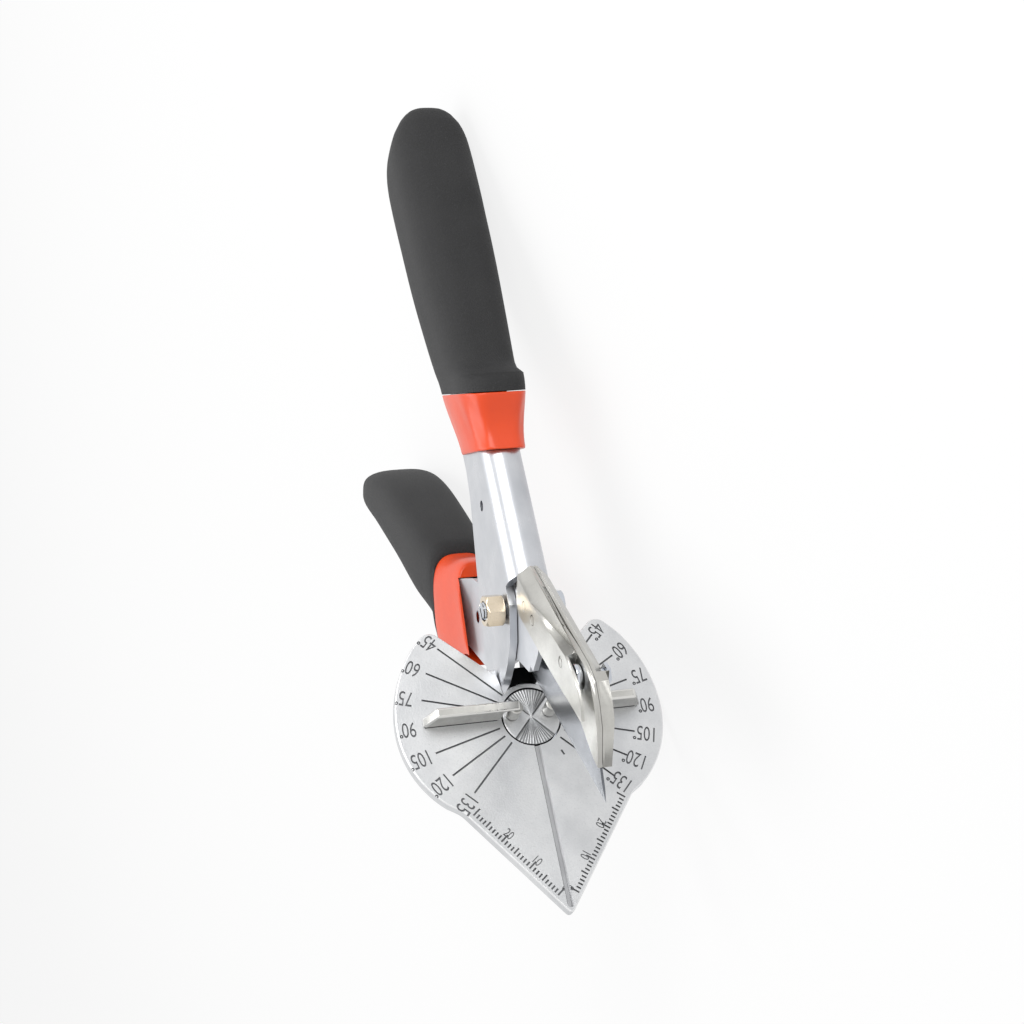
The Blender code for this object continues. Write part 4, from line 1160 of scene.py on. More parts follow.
@dataclass
class Turntable:
    """The serrated disc and the two cast arms of the fence on their posts."""

    radius: float = 8.0
    stand: float = 0.2
    hub: float = 3.0
    hub_height: float = 1.0
    ledge: float = 1.9
    rings: tuple[float, ...] = (0, 0.4, 0.9, 1.5, 2.2, 3.0, 4.0, 5.0, 6.0, 6.9, 7.6)
    rim: tuple[Pair, Pair] = ((0.12, -0.03), (0, -0.15))
    disc_steps: int = 480
    screw_radius: float = 1.8
    screw_reach: float = 0.6
    teeth: int = 14
    sector: float = 43.0
    tooth_depth: float = 0.26
    tooth_growth: float = 2.2
    cross_depth: float = 0.4
    cross_half: float = 0.32
    cross_centre: float = 1.2
    # How dark the painted shade in the serration valleys and the cross gets.
    residue_share: float = 0.7
    fence_thick: float = 2.8
    fence_front: float = -0.3
    fence_height: float = 7.0
    fence_shelf: float = 1.3
    fence_inner: Pair = (4.4, 8.6)
    fence_slope: float = 2.8
    fence_edge: float = 0.58
    fence_ends: dict[Side, float] = field(default_factory=lambda: {Side.LEFT: 30.2, Side.RIGHT: 31.0})
    post_radius: float = 1.85
    post_place: float = 5.15
    post_edge: Pair = (0.25, 0.3)

    def height(self, spot: Vector) -> float:
        """The disc's top at a place: serrations in two sectors and a cross between the sectors.

        Args:
            spot: The place on the disc.

        Returns:
            The height.
        """
        radius = spot.length
        turn = math.degrees(math.atan2(abs(spot.x), spot.y))
        upper = turn < self.sector
        edge = min(abs(turn - self.sector), abs(180 - turn - self.sector))
        cross = max(0.0, 1 - edge * math.radians(1) * radius / self.cross_half)
        fall = -self.cross_depth * cross * min(1.0, radius / self.cross_centre)
        if upper or 180 - turn < self.sector:
            angle = math.degrees(math.atan2(spot.x, spot.y if upper else -spot.y))
            phase = (angle + self.sector) / (2 * self.sector) * self.teeth
            tooth = abs(2 * (phase - math.floor(phase)) - 1)
            reach = min(1.0, radius / self.radius * self.tooth_growth)
            fall = min(fall, -self.tooth_depth * (1 - tooth) * reach)
        return fall

    def build_disc(self, shop: Workshop) -> None:
        """Makes the disc with its serrated top.

        Args:
            shop: Where pieces are made.
        """
        floor = -self.ledge - self.stand
        profile = [(radius, 0.0) for radius in self.rings]
        profile += [(self.radius - inset, fall) for inset, fall in self.rim]
        profile += [(self.radius, floor), (self.hub, floor)]
        profile += [(self.hub, floor - self.hub_height), (0, floor - self.hub_height)]
        disc = Form.turned(profile, Axis.Z, steps=self.disc_steps)
        for vert in disc.bm.verts:
            if vert.co.z > -0.1:
                vert.co.z += self.height(vert.co.to_2d())
        bore = Form.prism(ring_points(self.screw_radius, 24), Axis.Z, floor * 4, floor + self.screw_reach)
        # Shade is painted on the disc's rim, its cross and its serration valleys.
        disc.worked(bore, Work.TAKE).soiled(self.residue)
        shop.add("serrated_disc", disc, Body.TURNTABLE, [CAST_PLATE], ["turntable_disc"], sharp=60)

    def residue(self, spot: Vector, way: Vector) -> float:
        """Painted shade on the disc's rim, in its cross and in the valleys of its serrations.

        Args:
            spot: The place on the disc.
            way: The face's direction, which doesn't count here.

        Returns:
            The share of painted shade.
        """
        if spot.to_2d().length > self.radius - 0.1:
            return 1.0 if spot.z < -0.14 else 0.5
        if spot.z < -OVER:
            return 0.0
        return self.residue_share * min(1.0, max(0.0, -spot.z / self.tooth_depth - 0.1))

    def build_arm(self, shop: Workshop, side: Side) -> None:
        """Makes one fence arm and its post, with cast roundings.

        Args:
            shop: Where pieces are made.
            side: The side of the blade.
        """
        name = side.name.lower()
        top, shelf = self.fence_height, self.fence_height - self.fence_shelf
        (inner, outer), end = self.fence_inner, self.fence_ends[side]
        arm = [(outer, GAP), (end, GAP), (end - self.fence_slope, top), (inner, top)]
        arm += [(inner, shelf), (outer, shelf)]
        low = self.fence_front
        form = Form.prism([(side.value * x, z) for x, z in arm], Axis.Y, low, low + self.fence_thick)
        form.softened(self.fence_edge, 40, 4)
        shop.add(f"fence_arm_{name}", form, Body.TURNTABLE, [CAST_FENCE], [f"fence_{name}"])
        high = shelf - GAP
        inset, drop = self.post_edge
        profile = [(0, GAP), (self.post_radius, GAP), (self.post_radius, high - drop)]
        profile += [(self.post_radius - inset, high), (0, high)]
        post = Form.turned(profile, Axis.Z, (side.value * self.post_place, self.fence_thick / 2 + low), 40)
        shop.add(f"fence_stud_{name}", post, Body.TURNTABLE, [CAST_FENCE], [f"fence_post_{name}"])

    def build(self, shop: Workshop) -> None:
        """Makes the disc, both arms and dresses the parts below.

        Args:
            shop: Where pieces are made.
        """
        self.build_disc(shop)
        for side in Side:
            self.build_arm(shop, side)
        shop.dress(Body.TURNTABLE, CHROME, "wave_washer", "turntable_retainer", "turntable_screw")


@dataclass
class PivotSet:
    """The pivot bolt with its thread and chamfered head, and the lock nut."""

    centre: Pair = PIVOT
    wall: float = 6.2
    flat_half: float = 4.0
    cone: float = 0.9
    shank: float = 2.5
    nut_thick: float = 5.3
    nut_chamfers: Pair = (0.7, 0.5)
    nut_play: float = 0.25
    nut_edge: float = 0.12
    bolt_end: float = 0.8
    head_thick: float = 3.3
    head_chamfers: Pair = (0.0001, 0.8)
    head_edge: float = 0.1
    washer: float = 0.6
    pitch: float = 0.8
    thread_depth: float = 0.32
    thread_reach: float = 1.2
    core: float = 0.35
    tip: float = 0.5
    slot: tuple[float, float, float] = (4.0, 0.4, 0.7)
    corner_steps: int = 96
    sides: int = 6

    def six_sided(self, low: float, high: float, chamfers: Pair) -> list[list[Vector]]:
        """Rings of a hexagon whose corners a cone cuts back.

        Args:
            low: Its first place along X.
            high: Its last place along X.
            chamfers: How far the cone reaches at each end.

        Returns:
            The rings from low to high.
        """
        corner = self.flat_half / math.cos(math.pi / self.sides)
        first, last = chamfers
        stops = [
            (low, first), (low + first * 0.5, first * 0.5), (low + first, 0.0),
            (high - last, 0.0), (high - last * 0.5, last * 0.5), (high, last),
        ]
        half = math.pi / self.sides
        rings = []
        for place, cut in stops:
            ring = []
            for step in range(self.corner_steps):
                turn = math.tau * step / self.corner_steps
                sector = (turn + half) % (half * 2) - half
                radius = min(self.flat_half / math.cos(sector + 1e-9), corner - cut * self.cone)
                across, up = radius * math.cos(turn + half), radius * math.sin(turn + half)
                ring.append(Vector((place, self.centre[0] + across, self.centre[1] + up)))
            rings.append(ring)
        return rings

    def threaded(self, low: float, high: float) -> Form:
        """A bar along X with a helical thread.

        Args:
            low: Its first place.
            high: Its last place.

        Returns:
            The bar.
        """
        count = max(8, round((high - low) / self.pitch * 8))
        profile = [(0, low), (self.shank - self.tip, low)]
        profile += [(self.shank, low + (high - low) * step / count) for step in range(1, count)]
        profile += [(self.shank, high), (0, high)]
        form = Form.turned(profile, Axis.X, self.centre, 48)
        for vert in form.bm.verts:
            spoke = Vector((vert.co.y - self.centre[0], vert.co.z - self.centre[1]))
            if spoke.length < self.shank - 0.1:
                continue
            phase = vert.co.x / self.pitch - math.atan2(spoke.y, spoke.x) / math.tau
            tooth = abs(2 * (phase - math.floor(phase)) - 1)
            spoke *= 1 - self.thread_depth * tooth / self.shank
            vert.co = Vector((vert.co.x, self.centre[0] + spoke.x, self.centre[1] + spoke.y))
        return form.merged()

    def build(self, shop: Workshop) -> None:
        """Makes the bolt and the nut, and dresses the washer.

        Args:
            shop: Where pieces are made.
        """
        end = -self.wall - self.nut_thick
        nut = Form.lofted(self.six_sided(end, -self.wall - GAP, self.nut_chamfers))
        bore = Form.prism(ring_points(self.shank + self.nut_play, 48, self.centre), Axis.X, end - OVER, 0)
        nut.worked(bore, Work.TAKE).softened(self.nut_edge, 55, 2)
        shop.add("lock_nut", nut, Body.FRAME, [NICKEL], ["pivot_nut"])
        seat = self.wall + self.washer + GAP
        head = Form.lofted(self.six_sided(seat, seat + self.head_thick, self.head_chamfers))
        radius, first, last = self.shank - self.core, end + OVER, seat + self.tip
        plain = Form.turned([(0, first), (radius, first), (radius, last), (0, last)], Axis.X, self.centre, 40)
        tip = end - self.bolt_end
        thread = self.threaded(tip, end + self.thread_reach)
        long, half, depth = self.slot
        y, z = self.centre
        slot = [(y - long, z - half), (y + long, z - half), (y + long, z + half), (y - long, z + half)]
        thread.worked(Form.prism(slot, Axis.X, tip - OVER, tip + depth), Work.TAKE)
        bolt = head.worked(plain, Work.JOIN).softened(self.head_edge, 55, 1).joined(thread)
        shop.add("threaded_bolt", bolt, Body.FRAME, [CHROME], ["pivot_bolt"])
        shop.dress(Body.FRAME, CHROME, "pivot_washer")


@dataclass
class Sheets:
    """The pressed handle channel and lever, with the rounded edges of pressed sheet."""

    edge: float = 0.35
    seam: float = 21.5
    inner: float = 4.9
    # How dark the painted shade on the channel's inner faces gets.
    residue_share: float = 0.92

    def build(self, shop: Workshop) -> None:
        """Rounds copies of both pressed parts and dresses the small fasteners.

        Args:
            shop: Where pieces are made.
        """
        for name, node, body, finish in (
            ("handle_channel", "upper_handle", Body.FRAME, PLATED),
            ("lever_cheeks", "lower_handle", Body.LEVER, SATIN),
        ):
            form = Form.of_node(node, shop.placing.of(body)).softened(self.edge, 30, 2)
            # Shade is painted on the handle channel's inner faces.
            if body is Body.FRAME:
                form.soiled(self.inside)
            shop.add(name, form, body, [finish], [node])
        shop.dress(Body.FRAME, OXIDE, "base_spacer")
        shop.dress(Body.FRAME, CHROME, "base_rivet_upper", "base_rivet_lower")
        shop.dress(Body.LEVER, CHROME, "lower_rivet", "hex_spacer", "spacer_washer")

    def inside(self, spot: Vector, way: Vector) -> float:
        """Painted shade on the channel's inner faces.

        Args:
            spot: The place on the channel.
            way: The face's direction.

        Returns:
            The share of painted shade.
        """
        facing = Vector((spot.x, 0, max(0.0, spot.z - self.seam))).dot(way)
        return self.residue_share if abs(spot.x) < self.inner and facing < -0.5 else 0.0


@dataclass
class BladeSet:
    """The trapezoid blade and the two cast halves that clamp it."""

    pivot_back: float = PIVOT[0]
    thick: float = 0.65
    length: float = 61.3
    width: float = 19.0
    slope: float = 15.1
    tip: float = 71.7
    grind: float = 2.6
    keen_half: float = 0.02
    notches: Pair = (0.43, 0.57)
    notch_radius: float = 1.5
    edge: float = 0.2
    wall: float = 4.4
    seam: float = 0.06
    slice: float = 0.05
    before: float = 0.2
    lap: float = 0.1
    far: float = 60.0
    mark: Pair = (44.0, 23.7)
    mark_radii: Pair = (1.5, 1.05)
    mark_offset: Pair = (0.2, 0.15)
    mark_depth: float = 0.22
    drum_place: Pair = (51.0, 23.2)
    drum_face: float = -3.3
    drum_neck: float = -1.8
    drum_end: float = 6.0
    drum_radius: float = 3.4
    drum_shank: float = 1.5

    def blade(self) -> Form:
        """The blade with its two ground facets along the edge.

        Returns:
            The blade.
        """
        half = self.thick / 2
        front = self.pivot_back - self.tip
        low, high = GAP, GAP + self.width
        lean = self.grind * self.slope / self.width
        corners = [
            (front + lean, low + self.grind), (front + self.slope, high),
            (front + self.length - self.slope, high), (front + self.length - lean, low + self.grind),
        ]
        form = Form.prism(corners, Axis.X, -half, half)
        low_edges = [
            edge for edge in form.bm.edges
            if edge.calc_length() > self.slope
            and all(abs(vert.co.z - low - self.grind) < 0.01 for vert in edge.verts)
        ]
        face = next(f for f in form.bm.faces if all(edge in f.edges for edge in low_edges))
        pushed = bmesh.ops.extrude_discrete_faces(form.bm, faces=[face])["faces"][0]
        for vert in pushed.verts:
            end = front if vert.co.y < front + self.length / 2 else front + self.length
            vert.co = Vector((math.copysign(self.keen_half, vert.co.x), end, low))
        form.merged()
        places = [(front + self.length * share, high) for share in self.notches]
        cuts = [
            Form.prism(ring_points(self.notch_radius, 20, place), Axis.X, -OVER, OVER) for place in places
        ]
        return form.worked(cuts[0].joined(cuts[1]), Work.TAKE)

    def build(self, shop: Workshop) -> None:
        """Makes the blade and rounds copies of the holder halves.

        Args:
            shop: Where pieces are made.
        """
        shop.add("trapezoid_blade", self.blade(), Body.LEVER, [BLADE_STEEL], ["blade"])
        for side in Side:
            name = side.name.lower()
            form = self.closed(f"holder_{name}", shop.placing.of(Body.LEVER), side).softened(self.edge, 24, 2)
            if side is Side.LEFT:
                form = self.marked(form)
            shop.add(f"cast_half_{name}", form, Body.LEVER, [CAST_HOLDER], [f"holder_{name}"])
        shop.add("clamp_drum", self.drum(), Body.LEVER, [CHROME], ["clamp_bolt"])
        shop.dress(Body.LEVER, CHROME, "clamp_nut")
        shop.dress(Body.LEVER, CAST_HOLDER, "holder_pin_rear", "holder_pin_front")

    def closed(self, node: str, place: Matrix, side: Side) -> Form:
        """Copies a half and carries its inner face over the blade's back, nearly to the middle.

        Args:
            node: The half's node.
            place: The matrix of the lever's frame.
            side: The side of the blade.

        Returns:
            The closed half.
        """
        inner = self.thick / 2 + GAP
        low, far = self.width + GAP * 2, self.far
        tip = self.pivot_back - self.tip - GAP * 4
        box = [(-far, 0), (tip, 0), (tip + self.slope, low), (far, low), (far, far), (-far, far)]
        ends = sorted((side.value * (inner - self.before), side.value * (inner + self.slice)))
        strip = Form.of_node(node, place).worked(Form.prism(box, Axis.X, *ends), Work.KEEP)
        stretch = (inner + self.lap - self.seam) / self.slice

        def inwards(spot: Vector) -> Vector:
            """Where a point of the strip goes."""
            return Vector((side.value * (self.seam + (abs(spot.x) - inner) * stretch), spot.y, spot.z))

        strip.shaped(inwards)
        return Form.of_node(node, place).worked(strip, Work.JOIN)

    def marked(self, half: Form) -> Form:
        """Sinks the round casting mark into the left half's side.

        Args:
            half: The left half.

        Returns:
            The same half.
        """
        outer, inner = self.mark_radii
        y, z = self.pivot_back - self.mark[0], self.mark[1]
        outside = -self.wall * 2
        ring = Form.prism(ring_points(outer, 40, (y, z)), Axis.X, outside, self.mark_depth - self.wall)
        middle = (y - self.mark_offset[0], z - self.mark_offset[1])
        core = Form.prism(ring_points(inner, 40, middle), Axis.X, outside - OVER, 0)
        return half.worked(ring.worked(core, Work.TAKE), Work.TAKE)

    def drum(self) -> Form:
        """The clamp bolt with its rounded drum head.

        Returns:
            The bolt.
        """
        face, neck, end = self.drum_face, self.drum_neck, self.drum_end
        radius, shank = self.drum_radius, self.drum_shank
        profile = [(0, face), (radius - 0.4, face), (radius - 0.1, face + 0.12), (radius, face + 0.4)]
        profile += [(radius, neck - 0.3), (radius - 0.2, neck), (shank, neck)]
        profile += [(shank, end - 0.2), (shank - 0.2, end), (0, end)]
        back, height = self.drum_place
        return Form.turned(profile, Axis.X, (self.pivot_back - back, height), 56)


@dataclass
class HandleCover:
    """A soft grip and its collar: rounded-square rings along Y that follow a table of shares.

    Each row of the table holds its place along the grip, the rise of its middle, its width and depth, its
    lean and the height of the thumb stop, all as shares.
    """

    start: float
    length: float
    base: float
    width: float
    depth: float
    collar_front: float
    collar_lean: float
    table: tuple
    grip_shares: tuple
    collar_shares: tuple
    lip: Pair
    stop: float = 0.0
    stop_spread: float = 0.7
    evenness: float = 0.0
    flute: float = 0.0
    flute_count: int = 10
    flute_power: float = 0.7
    tail: float = 0.985
    squareness: float = 3.2
    steps: int = 72

    def section(
        self, station: float, centre: float, width: float, depth: float, lean: float, bump: float,
        flute: float = 0.0
    ) -> list[Vector]:
        """One rounded-square ring across Y.

        Args:
            station: Its place along Y.
            centre: The height of its middle.
            width: Its width.
            depth: Its depth.
            lean: How far it leans back with height.
            bump: How far its top swells.
            flute: How deep the soft flutes in its sides are.

        Returns:
            The ring's points.
        """
        power = 2 / self.squareness
        points = []
        for step in range(self.steps):
            angle = math.tau * step / self.steps
            across = math.copysign(abs(math.cos(angle)) ** power, math.cos(angle))
            up = math.copysign(abs(math.sin(angle)) ** power, math.sin(angle))
            swell = bump * max(0.0, math.sin(angle)) ** 2
            ripple = 1 - flute * (0.5 - 0.5 * math.cos(angle * self.flute_count))
            z = (depth / 2 + swell) * up * ripple
            x = (width / 2 + swell * self.stop_spread) * across * ripple
            points.append(Vector((x, station + lean * z, centre + z)))
        return points

    def row(self, share: float) -> list[float]:
        """Reads the table at any place, along smooth curves.

        Args:
            share: The place to read.

        Returns:
            The row's other values there.
        """
        table = self.table
        index = 0
        while index < len(table) - 2 and table[index + 1][0] <= share:
            index += 1
        first, second = table[index], table[index + 1]
        before, after = table[max(0, index - 1)], table[min(len(table) - 1, index + 2)]
        span = second[0] - first[0]
        t = (share - first[0]) / span
        values = []
        for column in range(1, len(first)):
            rise_in = (second[column] - before[column]) / (second[0] - before[0]) * span
            rise_out = (after[column] - first[column]) / (after[0] - first[0]) * span
            values.append(
                (2 * t**3 - 3 * t**2 + 1) * first[column] + (t**3 - 2 * t**2 + t) * rise_in
                + (3 * t**2 - 2 * t**3) * second[column] + (t**3 - t**2) * rise_out
            )
        return values

    def grip(self) -> Form:
        """The grip's outside.

        Returns:
            The grip without its bore.
        """
        rings = []
        for share in self.grip_shares:
            rise, wide, deep, lean, bump = self.row(share)
            station, centre = self.start + self.length * share, self.base * (1 + rise)
            size = (self.width * wide, self.depth * deep)
            rings.append(self.section(station, centre, *size, lean, self.stop * max(0.0, bump)))
        return Form.lofted(rings)

    def collar(self, centre: float, width: float, depth: float) -> Form:
        """The collar's outside, from its rolled front lip to the grip.

        Args:
            centre: The height of its front's middle.
            width: Its front's width.
            depth: Its front's depth.

        Returns:
            The collar without its bore.
        """
        _, rise, wide, deep, lean, bump = self.table[0]
        run = self.start - GAP - self.collar_front
        back_centre = self.base * (1 + rise)
        first, second = self.collar_shares[:2]
        rings = []
        for share in self.collar_shares:
            swell = share * share * (3 - 2 * share) * (1 - self.evenness) + share * self.evenness
            rim = {first: self.lip[0], second: self.lip[1], 1: self.tail}.get(share, 1.0)
            way = share if self.evenness else swell
            rings.append(
                self.section(
                    self.collar_front + run * share,
                    centre + (back_centre - centre) * swell,
                    (width + (self.width * wide - width) * swell) * rim,
                    (depth + (self.depth * deep - depth) * swell) * rim,
                    self.collar_lean + (lean - self.collar_lean) * way,
                    self.stop * bump * swell * share,
                    self.flute * math.sin(math.pi * share) ** self.flute_power,
                )
            )
        return Form.lofted(rings)


@dataclass
class UpperCover(HandleCover):
    """The soft grip and the collar of the upper handle."""

    start: float = 93.0
    length: float = 99.6
    base: float = 16.3
    width: float = 20.0
    depth: float = 28.5
    stop: float = 4.8
    collar_front: float = 73.2
    collar_lean: float = -0.5
    table: tuple = (
        (0.000, 0.02, 0.96, 0.96, -0.60, 0.94),
        (0.030, 0.02, 0.97, 0.98, -0.57, 1.06),
        (0.052, 0.01, 0.98, 0.99, -0.51, 1.00),
        (0.066, 0.00, 0.99, 0.99, -0.46, 0.16),
        (0.110, -0.02, 1.02, 1.00, -0.31, 0.00),
        (0.220, -0.05, 1.09, 1.01, -0.08, 0.00),
        (0.400, -0.11, 1.18, 1.04, 0.00, 0.00),
        (0.600, -0.16, 1.23, 1.05, 0.00, 0.00),
        (0.740, -0.20, 1.25, 1.04, 0.00, 0.00),
        (0.830, -0.20, 1.24, 1.01, 0.00, 0.00),
        (0.890, -0.14, 1.17, 0.94, 0.00, 0.00),
        (0.935, -0.05, 0.99, 0.81, 0.00, 0.00),
        (0.970, 0.05, 0.70, 0.59, 0.00, 0.00),
        (0.990, 0.12, 0.38, 0.34, 0.00, 0.00),
        (1.000, 0.15, 0.12, 0.12, 0.00, 0.00),
    )
    grip_shares: tuple = (
        *(step / 64 for step in range(60)), 0.95, 0.962, 0.972, 0.981, 0.988, 0.994, 0.998, 1.0
    )
    collar_shares: tuple = (0, 0.012, 0.04, 0.1, 0.2, 0.3, 0.4, 0.5, 0.6, 0.7, 0.8, 0.88, 0.95, 0.985, 1)
    lip: Pair = (0.97, 0.99)
    evenness: float = 0.25
    flute: float = 0.028
    channel_half: float = 5.9
    channel_seam: float = 21.5
    channel_low: float = 6.5
    channel_end: float = 150.0
    collar_wall: float = 1.4
    dents: tuple[Pair, ...] = ((150.0, 0.75), (161.0, -0.35))
    dent_across: float = 5.0
    dent_reach: Pair = (5.5, 4.5)

    def bore(self, first: float, last: float) -> Form:
        """The channel with a gap all round, as a cutter.

        Args:
            first: Where it starts along Y.
            last: Where it ends along Y.

        Returns:
            The cutter, with a full round top.
        """
        half, low, seam = self.channel_half + GAP, self.channel_low - GAP, self.channel_seam
        turns = [math.pi * step / 24 for step in range(25)]
        arch = [(half * math.cos(turn), seam + half * math.sin(turn)) for turn in turns]
        return Form.prism([(half, low), *arch, (-half, low)], Axis.Y, first, last)

    def dented(self, spot: Vector) -> Vector:
        """Sinks the soft dent into the grip's back, with a low swell behind it.

        Args:
            spot: A point of the grip.

        Returns:
            Its new place.
        """
        if spot.z < self.base:
            return spot
        along, across = self.dent_reach
        near = [
            depth * math.exp(-((spot.y - y) / along) ** 2 - ((spot.x - self.dent_across) / across) ** 2)
            for y, depth in self.dents
        ]
        return spot - Vector((0, 0, sum(near)))

    def build(self, shop: Workshop) -> None:
        """Makes the grip with its thumb stop, and the fluted collar.

        Args:
            shop: Where pieces are made.
        """
        grip = self.grip().shaped(self.dented)
        grip.worked(self.bore(self.collar_front, self.channel_end + GAP), Work.TAKE)
        shop.add("soft_upper_grip", grip, Body.FRAME, [GRIP], ["upper_grip"], sharp=50)
        depth = self.channel_seam + self.channel_half - self.channel_low + self.collar_wall * 2
        width = (self.channel_half + self.collar_wall + GAP) * 2
        collar = self.collar(self.channel_low - self.collar_wall + depth / 2, width, depth)
        collar.worked(self.bore(self.collar_front / 2, self.channel_end), Work.TAKE)
        shop.add("orange_upper_collar", collar, Body.FRAME, [ORANGE], ["upper_collar"], sharp=50)


@dataclass
class LowerCover(HandleCover):
    """The soft grip and the slanting collar of the lever."""

    start: float = 85.8
    length: float = 100.0
    base: float = -16.3
    width: float = 20.0
    depth: float = 26.2
    collar_front: float = 62.5
    collar_lean: float = 0.90
    table: tuple = (
        (0.000, 0.018, 0.920, 1.099, 0.50, 0),
        (0.012, -0.018, 0.935, 1.099, 0.49, 0),
        (0.035, -0.221, 0.960, 0.908, 0.45, 0),
        (0.070, -0.298, 1.010, 0.874, 0.38, 0),
        (0.210, -0.264, 1.120, 0.916, 0.15, 0),
        (0.430, -0.224, 1.170, 0.889, 0.00, 0),
        (0.600, -0.150, 1.200, 0.866, 0.00, 0),
        (0.740, -0.040, 1.210, 0.790, 0.00, 0),
        (0.850, 0.113, 1.200, 0.691, 0.00, 0),
        (0.930, 0.255, 1.150, 0.576, 0.00, 0),
        (0.975, 0.337, 1.040, 0.450, 0.00, 0),
        (1.000, 0.374, 0.750, 0.282, 0.00, 0),
    )
    grip_shares: tuple = (
        *(step / 56 for step in range(50)), 0.91, 0.93, 0.95, 0.965, 0.978, 0.988, 0.995, 1.0
    )
    collar_shares: tuple = (0, 0.01, 0.03, 0.08, 0.2, 0.35, 0.5, 0.65, 0.8, 0.92, 0.985, 1)
    lip: Pair = (0.95, 0.985)
    front_centre: float = -7.8
    front_width: float = 14.2
    front_depth_share: float = 0.92
    lever_half: float = 6.2
    lever_low: float = -21.5
    lever_ends: Pair = (44.6, 145.3)
    lever_slant: tuple[Pair, Pair] = ((65.0, 3.8), (44.6, 9.9))

    def bore(self) -> Form:
        """The lever's back part with a gap all round, as a cutter.

        Returns:
            The cutter.
        """
        low, top, half = self.lever_low, -self.lever_half, self.lever_half
        front, rear = self.lever_ends
        outline = [(front, low), (self.start, low), (rear, low), (rear, top), (self.start, top)]
        outline += self.lever_slant
        return Form.prism(outline, Axis.X, -half, half)

    def build(self, shop: Workshop) -> None:
        """Makes the grip and the slanting collar.

        Args:
            shop: Where pieces are made.
        """
        grip = self.grip().worked(self.bore(), Work.TAKE)
        shop.add("soft_lower_grip", grip, Body.LEVER, [GRIP], ["lower_grip"], sharp=50)
        collar = self.collar(self.front_centre, self.front_width, self.depth * self.front_depth_share)
        collar.worked(self.bore(), Work.TAKE)
        shop.add("orange_lower_collar", collar, Body.LEVER, [ORANGE], ["lower_collar"], sharp=50)


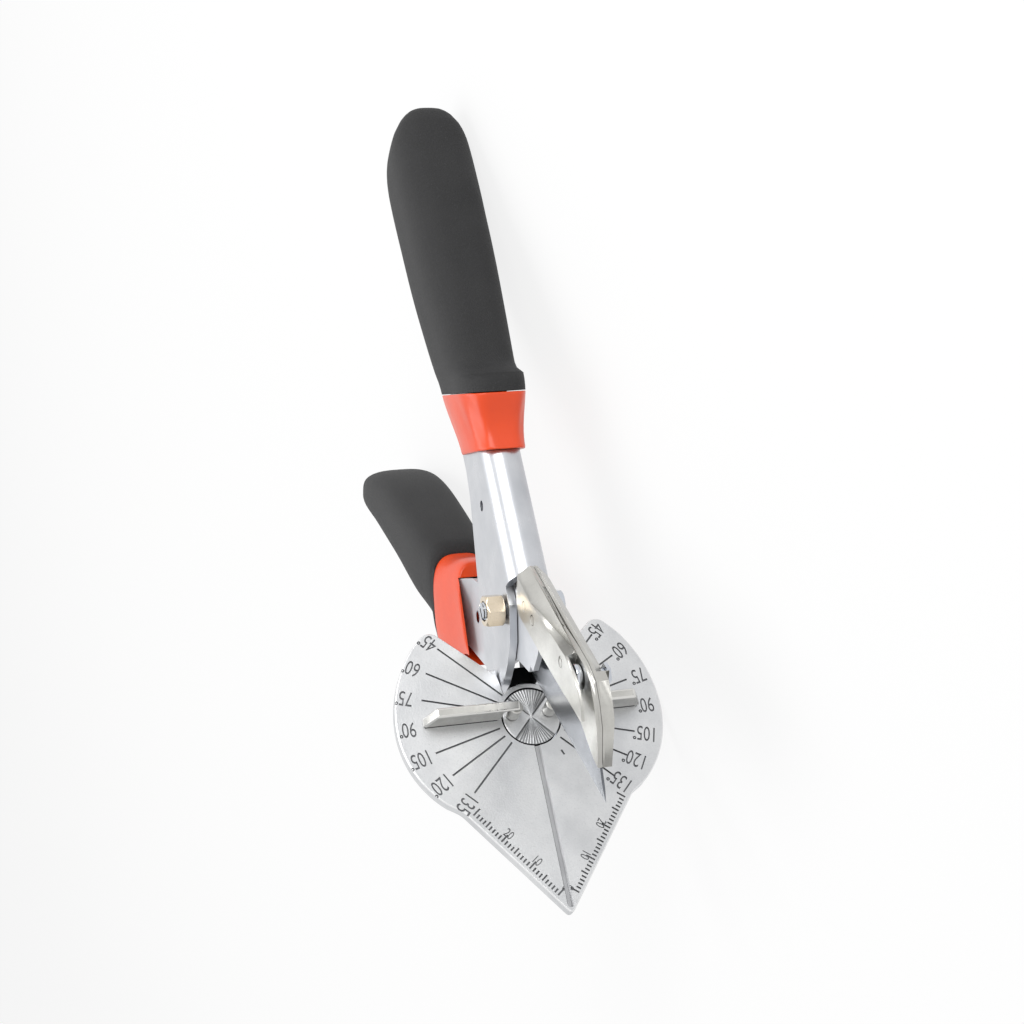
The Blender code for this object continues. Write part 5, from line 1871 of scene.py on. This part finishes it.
@dataclass
class Studio:
    """The pale floor, the plain soft light and the camera of the photograph."""

    camera_spot: tuple[float, float, float] = (-134.0433, -164.8568, 441.7235)
    camera_rows: tuple = (
        (0.95935276, -0.19055086, 0.20816495),
        (-0.07135891, -0.87744739, -0.47433532),
        (0.27303879, 0.44020047, -0.85537908),
    )
    lens: float = 63.246
    sensor: float = 36.0
    clip: Pair = (0.01, 50.0)
    floor_size: float = 6.0
    floor_colour: Colour = (0.82, 0.82, 0.82, 1)
    lamps: tuple = (
        ("front_lamp", (0.9, 0.35, 0.45), (0, 0, 0.04), 0.6, 5.0),
        ("top_lamp", (-0.1, 0.3, 1.1), (0, 0, 0.03), 0.9, 7.0),
    )
    flags: tuple = (
        ("flag_left", (-420.0, 60.0, 420.0), (0.0, 40.0, 20.0), (28.0, 420.0)),
        ("flag_far", (150.0, 60.0, 520.0), (0.0, 40.0, 20.0), (22.0, 420.0)),
    )
    flag_colour: Colour = (0.012, 0.012, 0.013, 1)
    glow: float = 0.82
    ambient: float = 0.62

    def place_camera(self, tool: Matrix) -> None:
        """Stands the camera where the photograph was taken from.

        Args:
            tool: The tool's own frame.
        """
        camera = linked("camera", bpy.data.cameras.new("camera"))
        right, down, ahead = (Vector(row) for row in self.camera_rows)
        turn = Matrix((right, -down, -ahead)).transposed().to_4x4()
        facing = (tool.to_3x3().normalized() @ turn.to_3x3()).to_4x4()
        camera.matrix_world = Matrix.Translation(tool @ Vector(self.camera_spot)) @ facing
        camera.data.lens = self.lens
        camera.data.sensor_width = self.sensor
        camera.data.clip_start, camera.data.clip_end = self.clip
        bpy.context.scene.camera = camera

    def seen(self, tree: bpy.types.NodeTree) -> bpy.types.NodeSocket:
        """Adds nodes that tell whether a ray comes from the camera, gloss or glass.

        Args:
            tree: The node tree to add them to.

        Returns:
            The socket of their sum, held at 1.
        """
        path = tree.nodes.new("ShaderNodeLightPath")
        total = path.outputs["Is Camera Ray"]
        for name in ("Is Glossy Ray", "Is Transmission Ray"):
            add = tree.nodes.new("ShaderNodeMath")
            add.operation = "ADD"
            add.use_clamp = True
            tree.links.new(total, add.inputs[0])
            tree.links.new(path.outputs[name], add.inputs[1])
            total = add.outputs[0]
        return total

    def panel(self, name: str, half: float, place: Matrix, material: bpy.types.Material) -> bpy.types.Object:
        """Stages a flat square.

        Args:
            name: Its name.
            half: Half of its side.
            place: The matrix from its own frame to the row frame.
            material: Its material.

        Returns:
            The staged square.
        """
        bm = bmesh.new()
        bmesh.ops.create_grid(bm, x_segments=1, y_segments=1, size=half)
        bm.transform(place)
        mesh = mesh_of(name, bm)
        mesh.materials.append(material)
        square = linked(name, mesh)
        return square

    def build_floor(self) -> None:
        """Lays the pale floor, which glows for the camera and keeps the shadow."""
        material = bpy.data.materials.new("pale_floor")
        material.use_nodes = True
        tree = material.node_tree
        tree.nodes.clear()
        out, mix, diffuse, emission, share = (
            tree.nodes.new(f"ShaderNode{kind}")
            for kind in ("OutputMaterial", "MixShader", "BsdfDiffuse", "Emission", "Math")
        )
        diffuse.inputs["Color"].default_value = self.floor_colour
        share.operation = "MULTIPLY"
        share.inputs[1].default_value = self.glow
        tree.links.new(self.seen(tree), share.inputs[0])
        for index, node in enumerate((share, diffuse, emission)):
            tree.links.new(node.outputs[0], mix.inputs[index])
        tree.links.new(mix.outputs[0], out.inputs[0])
        self.panel("floor", self.floor_size / 2, Matrix.Identity(4), material)

    def build_world(self) -> None:
        """Makes a white surround that lights at a plain level."""
        world = bpy.data.worlds.new("surround")
        world.use_nodes = True
        bpy.context.scene.world = world
        tree = world.node_tree
        background = tree.nodes["Background"]
        background.inputs["Color"].default_value = (1, 1, 1, 1)
        strength = tree.nodes.new("ShaderNodeMapRange")
        strength.inputs["To Min"].default_value = self.ambient
        strength.inputs["To Max"].default_value = 1.0
        tree.links.new(self.seen(tree), strength.inputs["Value"])
        tree.links.new(strength.outputs["Result"], background.inputs["Strength"])

    def add_lamp(
        self, name: str, spot: Sequence[float], aim: Sequence[float], size: float, power: float
    ) -> None:
        """Adds one soft lamp.

        Args:
            name: Its name.
            spot: Where it stands, in metres.
            aim: The point that it faces.
            size: The side of its square face.
            power: Its power in watts.
        """
        lamp = bpy.data.lights.new(name, "AREA")
        lamp.shape = "SQUARE"
        lamp.size = size
        lamp.energy = power
        stand = linked(name, lamp)
        stand.location = spot
        stand.rotation_euler = (Vector(aim) - Vector(spot)).to_track_quat("-Z", "Y").to_euler()
        stand.visible_camera = False

    def add_flag(
        self, name: str, tool: Matrix, spot: Sequence[float], aim: Sequence[float], size: Pair
    ) -> None:
        """Stands a dark panel that only reflections see.

        Args:
            name: Its name.
            tool: The tool's own frame.
            spot: Its middle in that frame, in millimetres.
            aim: The point that it faces.
            size: Its two half sides.
        """
        material = bpy.data.materials.new("dark_flag")
        material.use_nodes = True
        shader = material.node_tree.nodes["Principled BSDF"]
        shader.inputs["Base Color"].default_value = self.flag_colour
        shader.inputs["Roughness"].default_value = 1.0
        way = (Vector(aim) - Vector(spot)).to_track_quat("-Z", "Y").to_matrix().to_4x4()
        place = tool @ Matrix.Translation(spot) @ way @ Matrix.Diagonal((*size, 1, 1))
        flag = self.panel(name, 1, place, material)
        flag.visible_camera = flag.visible_diffuse = flag.visible_shadow = False

    def build(self, tool: Matrix) -> None:
        """Builds the whole studio.

        Args:
            tool: The tool's own frame.
        """
        self.place_camera(tool)
        self.build_floor()
        self.build_world()
        for name, *lamp in self.lamps:
            self.add_lamp(name, *lamp)
        for name, *flag in self.flags:
            self.add_flag(name, tool, *flag)
        bpy.context.scene.view_settings.view_transform = "Standard"


def main() -> None:
    """Builds every sub-assembly and the studio."""
    logging.basicConfig(level=logging.INFO, format="%(name)s: %(message)s")
    placing = Placing.read(frame["joints"], OPENED, Vector((0, *PIVOT)))
    shop = Workshop(placing)
    for assembly in (AnglePlate(), Turntable(), PivotSet(), Sheets(), BladeSet(), UpperCover(), LowerCover()):
        assembly.build(shop)
        LOG.info("%s is ready", type(assembly).__name__)
    Studio().build(placing.tool)


if __name__ == "__main__":
    main()
